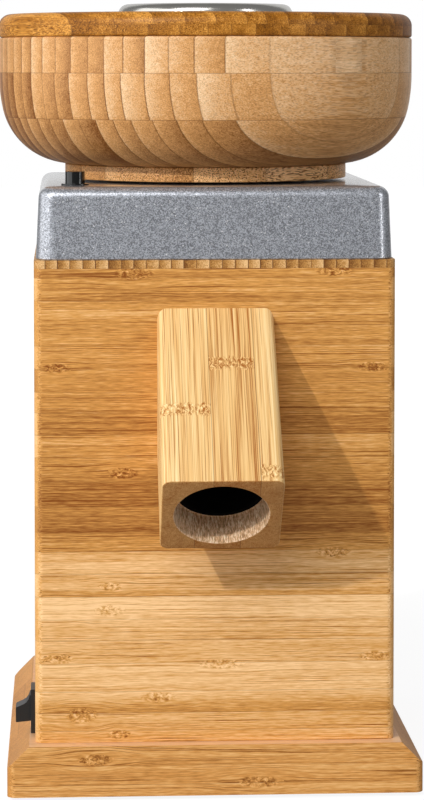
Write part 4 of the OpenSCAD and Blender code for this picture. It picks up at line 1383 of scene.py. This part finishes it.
@dataclass(frozen=True)
class CapShape:
    """Painted cap: a drafted box with rounded corners and a round opening."""

    width: float = 162.7
    depth: float = 178.0
    draft: float = 1.25
    corner_r: float = 9.0
    least_corner_r: float = 0.8
    edge_r: float = 5.0
    inner_edge_r: float = 3.5
    wall: float = 3.0
    hole_r: float = 54.0
    hole_edge: float = 0.6
    foot_edge: float = 0.5
    boss_r: float = 5.0
    boss_at: Pair = (66.0, 40.0)
    screw_hole_r: float = 2.1
    screw_hole_deep: float = 18.0
    pin_at: Pair = (-63.37, -62.49)
    pin_hole_r: float = 6.2
    corner_steps: int = 14
    edge_steps: int = 8

    def shell(self, low: float, high: float) -> bpy.types.Object:
        """Build the cap as one closed shell with its bosses.

        Args:
            low: Height of its foot.
            high: Height of its top.

        Returns:
            The cap.
        """
        shape, ceiling = bmesh.new(), high - self.wall
        count = 4 * (self.corner_steps + 1)

        def box_ring(inset: float, height: float) -> list[bmesh.types.BMVert]:
            """Return a rounded rectangle of vertices, drawn in by inset."""
            radius = max(self.corner_r - inset, self.least_corner_r)
            return add_ring(shape, rounded_loop(self.width / 2 - inset, self.depth / 2 - inset, radius,
                                                self.corner_steps), height)

        def shoulder(inset: float, top: float, radius: float) -> list[Pair]:
            """Return insets and heights of the arc from a side to the top."""
            return arc(inset + self.draft + radius, top - radius, radius, 180, 90, self.edge_steps)

        outside = [(self.foot_edge, low), (0.0, low + self.foot_edge), *shoulder(0.0, high, self.edge_r)]
        inside = [(self.wall, low), *shoulder(self.wall, ceiling, self.inner_edge_r)]
        opening = ((self.hole_r + self.hole_edge, high), (self.hole_r, high - self.hole_edge),
                   (self.hole_r, ceiling))
        chain = [box_ring(*ring) for ring in outside]
        chain += [add_ring(shape, circle(radius, count, start=180 / count), height)
                  for radius, height in opening]
        chain += [box_ring(*ring) for ring in reversed(inside)]
        bridge(shape, chain + chain[:1])
        obj = closed("cap", shape)
        self.bosses(obj, low, high)
        return soften(obj, 40.0)

    def bosses(self, obj: bpy.types.Object, low: float, high: float) -> None:
        """Add the screw bosses and the hole of the stop pin.

        Args:
            obj: The cap's shell.
            low: Height of its foot.
            high: Height of its top.
        """
        def rod(radius: float, start: float, end: float, at: Pair) -> bpy.types.Object:
            """Return an upright rod."""
            return lathe("rod", [(0.0, start), (radius, start), (radius, end), (0.0, end)], at, 48)

        for sx, sy in ((-1, -1), (1, -1), (1, 1), (-1, 1)):
            at = (sx * self.boss_at[0], sy * self.boss_at[1])
            carve(obj, rod(self.boss_r, low, high - self.wall / 2, at), "UNION")
            carve(obj, rod(self.screw_hole_r, low - 1, low + self.screw_hole_deep, at), "DIFFERENCE")
        carve(obj, rod(self.pin_hole_r, high - 2 * self.wall, high + 1, self.pin_at), "DIFFERENCE")


@dataclass(frozen=True)
class SpoutShape:
    """Square spout at 45 degrees, cut off at the front panel, with a mouth and a bore."""

    width: float = 53.0
    thick: float = 50.0
    edge_r: float = 4.0
    mouth_r: float = 21.0
    mouth_edge: float = 0.3
    mouth_deep: float = 14.4
    bore_r: float = 20.5
    arris: float = 0.6
    arris_steps: int = 3
    end_yz: Pair = (-140.911, 137.733)
    front_y: float = -90.0
    corner_steps: int = 8
    round_steps: int = 96

    def ring(self, shape: bmesh.types.BMesh, loop: Iterable[Pair],
             deep: float | None) -> list[bmesh.types.BMVert]:
        """Add a ring of vertices square to the spout's axis.

        Args:
            shape: Mesh of the spout.
            loop: Points: to the right of the axis, and from it towards the top face.
            deep: Distance inside the end face, or None for the plane of the front panel.

        Returns:
            The vertices.
        """
        lean, (end_y, end_z), made = math.sqrt(0.5), self.end_yz, []
        for across, up in loop:
            inside = (self.front_y - end_y) / lean + up if deep is None else deep
            spot = (across, end_y + lean * (inside - up), end_z + lean * (inside + up))
            made.append(shape.verts.new(Vector(spot) * MM))
        return made

    def build(self) -> bpy.types.Object:
        """Build the spout.

        Returns:
            One closed shell.
        """
        shape = bmesh.new()

        def outer(inset: float, deep: float | None) -> list[bmesh.types.BMVert]:
            """Return the outline, drawn in by inset."""
            return self.ring(shape, rounded_loop(self.width / 2 - inset, self.thick / 2 - inset,
                                                 self.edge_r - inset, self.corner_steps), deep)

        broken = arc(self.arris, self.arris, self.arris, 270, 180, self.arris_steps)
        skin = [outer(inset, deep) for inset, deep in (*broken, (0.0, None))]
        pipe = [self.ring(shape, circle(radius, self.round_steps), deep) for radius, deep in (
            (self.mouth_r + self.mouth_edge, 0.0), (self.mouth_r, self.mouth_edge),
            (self.mouth_r, self.mouth_deep), (self.bore_r, self.mouth_deep), (self.bore_r, None))]
        for rings in (skin, pipe):
            bridge(shape, rings)
        for end in (0, -1):
            fill(shape, (skin[end], pipe[end]))
        return closed("flour_spout", shape)


@dataclass
class Case(Assembly):
    """Base, panels, board, cap, spout, switch housing and what sits inside them."""

    body: str = "case"
    painted: tuple[tuple[Finish, tuple[str, ...]], ...] = (
        (RUBBER, ("rubber_feet", "shaft_seal")), (SHEETS, ("stator_core",)),
        (STEEL, ("upper_bearing", "lower_bearing", "tie_bolts", "capacitor_clamp")),
        (CAST, ("grinding_chamber", "upper_end_shield", "lower_end_shield")),
        (COPPER, ("stator_windings",)), (WHITE, ("thermal_cutout", "terminal_block")),
        (CAN, ("run_capacitor",)), (BLACK_SATIN, ("cord_gland", "gland_nut")),
        (SHEATH, ("internal_leads",)))
    copies: tuple[Copied, ...] = (
        Copied("base_plate", "base", BASE, arris_mm=1.3, segments=4),
        Copied("front_panel", "front", PANEL), Copied("back_panel", "back", PANEL),
        Copied("left_panel", "left_side", SIDE), Copied("right_panel", "right_side", SIDE),
        Copied("top_board", "board", BOARD, arris_mm=0.2),
        Copied("chute_liner", "liner", LINER, "black_plastic", 0.2),
        Copied("switch_housing", "switch_bezel", BLACK_SATIN, "black_gloss", 0.4),
        Copied("pin_bushing", "bushing", BLACK_GLOSS, "black_gloss", 0.1))
    cap: CapShape = CapShape()
    spout: SpoutShape = SpoutShape()
    screws: tuple[tuple[str, Screw], ...] = (
        ("foot_screws", Screw(2.0, 3.4, 1.5)), ("base_screws", Screw(2.0, 4.0, 2.5)),
        ("cap_screws", Screw(2.0, 4.0, 2.5)), ("chamber_screws", Screw(2.0, 3.6, 2.0, False)))
    stone_coil: Coil = Coil(3.2, 0.4, 5.0)
    pin_coil: Coil = Coil(3.2, 0.35, 8.0)
    pin_travel: float = 5.5

    def build(self) -> None:
        """Build and dress every piece of the case."""
        super().build()
        for copy in self.copies:
            made = merged_copy(copy.node, copy.name, copy.arris_mm, copy.segments)
            self.keep(made, copy.finish, copy.slot, copy.node)
        self.keep(self.cap.shell(heights("top_board")[1], heights("top_cap")[1]), CAP_PAINT, "cap_paint",
                  "top_cap")
        self.keep(self.spout.build(), SPOUT, "spout_bamboo", "spout")
        for node, screw in self.screws:
            self.keep(screw.field(node, "cross_" + node, STEEL.material()), STEEL, "steel", node)
        self.springs()

    def springs(self) -> None:
        """Wind the springs: the stone springs are baked in place apart from the case's body, and the pin
        spring rides on it with a mesh of its own.
        """
        lifted = self.stone_coil.field("stone_springs", "wound_stone_springs", SPRING.material())
        self.keep(lifted, SPRING, "spring_steel", "stone_springs", rides=False)
        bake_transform(lifted)
        pressed = self.pin_coil.field("pin_spring", "wound_pin_spring", SPRING.material())
        self.keep(pressed, SPRING, "spring_steel", "pin_spring")
        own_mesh(pressed)


@dataclass
class Hopper(Assembly):
    """Bowl, collar, ring and stop peg, which turn together."""

    body: str = "hopper"
    painted: tuple[tuple[Finish, tuple[str, ...]], ...] = (
        (GREY, ("hopper_ring",)), (STEEL, ("stop_peg",)))
    layers: tuple[tuple[str, float], ...] = (
        ("bowl_top_layer", 1.2), ("bowl_middle_layer", 0.1), ("bowl_bottom_layer", 0.1))
    collar_r: float = 67.9
    collar_in: float = 59.6
    collar_edge: float = 0.6
    screw: Screw = Screw(1.5, 3.0, 2.2)

    def build(self) -> None:
        """Build and dress every piece of the hopper."""
        super().build()
        bowl = BowlShape(heights("bowl_bottom_layer")[0])
        for node, edge in self.layers:
            made = bowl.layer("turned_" + node, *heights(node), edge, BOWL.material())
            self.keep(made, BOWL, "hopper_bamboo", node)
        low, high = heights("hopper_collar")
        inner, edge, across = self.collar_in, self.collar_edge, self.collar_r - self.collar_edge
        profile = [(inner, low), *arc(across, low + edge, edge, -90, 0, 3),
                   *arc(across, high - edge, edge, 0, 90, 3), (inner, high)]
        self.keep(lathe("collar", profile), COLLAR, "hopper_bamboo", "hopper_collar")
        made = self.screw.field("ring_screws", "cross_ring_screws", STEEL.material())
        self.keep(made, STEEL, "steel", "ring_screws")


@dataclass
class Lid(Assembly):
    """Lid and its medallion."""

    body: str = "lid"
    radius: float = 99.6
    wall: float = 9.0
    spigot: float = 4.0
    spigot_gap: float = 0.4
    spigot_edge: float = 0.6
    edge_r: float = 5.5
    rim_r: float = 1.2
    medallion_r: float = 42.0
    medallion_rim: float = 4.4
    medallion_foot: float = 0.2
    seat: float = 0.5
    seat_gap: float = 0.1
    dish: float = 0.8
    dish_edge: float = 0.4
    dish_lean: float = 0.1

    def build(self) -> None:
        """Build and dress the lid."""
        super().build()
        under, top = heights("hopper_lid")
        rim_z, edge, small, foot = under + self.spigot, self.edge_r, self.rim_r, self.spigot_edge
        spigot_r, seat_r = self.radius - self.wall - self.spigot_gap, self.medallion_r + self.seat_gap
        profile = [(0.0, under), *arc(spigot_r - foot, under + foot, foot, -90, 0, 3), (spigot_r, rim_z),
                   *arc(self.radius - small, rim_z + small, small, -90, 0, 5),
                   *arc(self.radius - edge, top - edge, edge, 0, 90, 12),
                   (seat_r, top), (seat_r, top - self.seat), (0.0, top - self.seat)]
        self.keep(lathe("lid", profile, steps=192), LID, "lid_bamboo", "hopper_lid")
        low, high = heights("lid_medallion")
        outer, rim, foot, small = self.medallion_r, self.medallion_rim, self.medallion_foot, self.dish_edge
        dish_r = outer - 2 * rim
        profile = [(0.0, low), (outer - foot, low), (outer, low + foot),
                   *arc(outer - rim, high - rim, rim, 0, 90, 12),
                   *arc(dish_r + small + self.dish_lean, high - small, small, 90, 180, 3),
                   (dish_r, high - self.dish), (0.0, high - self.dish)]
        self.keep(lathe("medallion", profile), MEDALLION, "medallion_metal", "lid_medallion")


@dataclass
class Works(Assembly):
    """Pieces inside that turn or lift, the stop pin and the rocker."""

    body: str = "rotor"
    painted: tuple[tuple[Finish, tuple[str, ...]], ...] = (
        (STEEL, ("motor_shaft", "clamp_washer", "clamp_nut", "pin_clip")),
        (SHEETS, ("rotor_core",)), (WHITE, ("cooling_fan",)), (CAST, ("stone_carrier", "stone_holder")),
        (STONE, ("lower_stone", "upper_stone")), (BLACK_GLOSS, ("stop_pin",)),
        (BLACK_SATIN, ("switch_rocker",)))


# ---- studio ----


@dataclass(frozen=True)
class Lamp:
    """A soft box, in metres; glow is its brightness, where 1 is white."""

    name: str
    place: tuple[float, float, float]
    size: Pair
    glow: float
    aim: tuple[float, float, float] = (0.0, -0.05, 0.19)

    def hang(self) -> None:
        """Add the lamp to the scene."""
        data = bpy.data.lights.new(self.name, "AREA")
        data.shape = "RECTANGLE"
        data.size, data.size_y = self.size
        data.energy = self.glow * math.pi * self.size[0] * self.size[1]
        obj = add(self.name, data)
        obj.location = self.place
        obj.rotation_mode = "QUATERNION"
        obj.rotation_quaternion = (Vector(self.aim) - Vector(self.place)).to_track_quat("-Z", "Y")
        obj.visible_camera = False


@dataclass(frozen=True)
class Studio:
    """Camera, lamps, floor and white surround."""

    eye_mm: tuple[float, float, float] = (-67.2, -1330.0, 335.5)
    yaw: float = 3.03
    focal_px: float = 2747.0
    horizon_px: float = 62.1
    shift: float = -0.24
    sensor_mm: float = 36.0
    ambient: float = 0.13
    mirrored: float = 0.26
    floor_m: float = 6.0
    floor_grey: float = 0.4
    floor_lit: float = 0.6
    floor_near: float = 1.5
    floor_far: float = 1.75
    floor_fade_mm: Pair = (250.0, 900.0)
    lamps: tuple[Lamp, ...] = (
        Lamp("key box", (-2.04, -2.45, 1.87), (0.09, 0.09), 2180.0),
        Lamp("top box", (-0.75, -1.90, 1.85), (1.5, 1.2), 4.85),
        Lamp("left wall", (-1.45, -0.80, 0.65), (2.6, 1.5), 1.5, (0.0, -0.80, 0.3)),
        Lamp("right box", (1.43, -0.93, 0.75), (0.26, 1.2), 6.3),
        Lamp("back card", (0.2, 1.7, 0.98), (2.6, 1.9), 0.5, (0.0, 0.0, 0.98)),
    )

    def camera(self) -> None:
        """Set up the camera at the photograph's viewing angle."""
        axis_px = PICTURE_H * (0.5 + self.shift)
        pitch = math.atan((axis_px - self.horizon_px) / self.focal_px)
        data = bpy.data.cameras.new("camera")
        data.sensor_width = self.sensor_mm
        data.lens = self.focal_px / PICTURE_H * data.sensor_width
        data.shift_y = self.shift
        data.clip_start, data.clip_end = 0.05, 30.0
        obj = add("camera", data)
        obj.location = Vector(self.eye_mm) * MM
        obj.rotation_euler = (math.radians(90) - pitch, 0.0, -math.radians(self.yaw))
        bpy.context.scene.camera = obj

    def surround(self) -> None:
        """Make the world: white to look at, and a plain level of light."""
        world = bpy.data.worlds.new("surround")
        world.use_nodes = True
        tree = Tree(world.node_tree)
        ray = tree.node("LightPath").outputs
        shiny = tree.value("MapRange", {"Value": ray["Is Glossy Ray"], "To Min": self.ambient,
                                        "To Max": self.mirrored})
        level = tree.value("MapRange", {"Value": ray["Is Camera Ray"], "To Min": shiny, "To Max": 1.0})
        glow = tree.value("Background", {"Color": (1.0,) * 3, "Strength": level})
        tree.node("OutputWorld", {"Surface": glow})
        bpy.context.scene.world = world

    def floor(self) -> None:
        """Lay a pale floor that keeps a light shadow of the mill."""
        shape = bmesh.new()
        bmesh.ops.create_grid(shape, x_segments=1, y_segments=1, size=self.floor_m)
        obj = from_bmesh("floor", shape)
        g = Graph("pale floor")
        x, y, _ = g.split(g.place())
        glow = g.fade(g.root(x * x + y * y), *self.floor_fade_mm, self.floor_near, self.floor_far)
        lit = g.value("Emission", {"Color": (1.0,) * 3, "Strength": glow})
        matt = g.value("BsdfDiffuse", {"Color": (self.floor_grey,) * 3})
        seen = g.value("LightPath", output="Is Camera Ray") * self.floor_lit
        g.node("OutputMaterial", {"Surface": g.value("MixShader", {0: seen, 1: matt, 2: lit})})
        obj.data.materials.append(g.material)
        obj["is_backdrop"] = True

    def build(self) -> None:
        """Set up everything that isn't the mill."""
        self.camera()
        self.surround()
        self.floor()
        for lamp in self.lamps:
            lamp.hang()
        bpy.context.scene.view_settings.view_transform = "Standard"


def corners(box: Box) -> list[list[float]]:
    """Return a box as plain lists of numbers."""
    return [list(corner) for corner in box]


def main() -> None:
    """Build the mill round its frame."""
    logging.basicConfig(level=logging.INFO, format="%(name)s %(message)s")
    cad_box = corners(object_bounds())
    Studio().build()
    for assembly in (Case(), Hopper(), Lid(), Works()):
        assembly.build()
    json.dumps({"cad": cad_box, "visual": corners(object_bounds())})


if __name__ == "__main__":
    main()
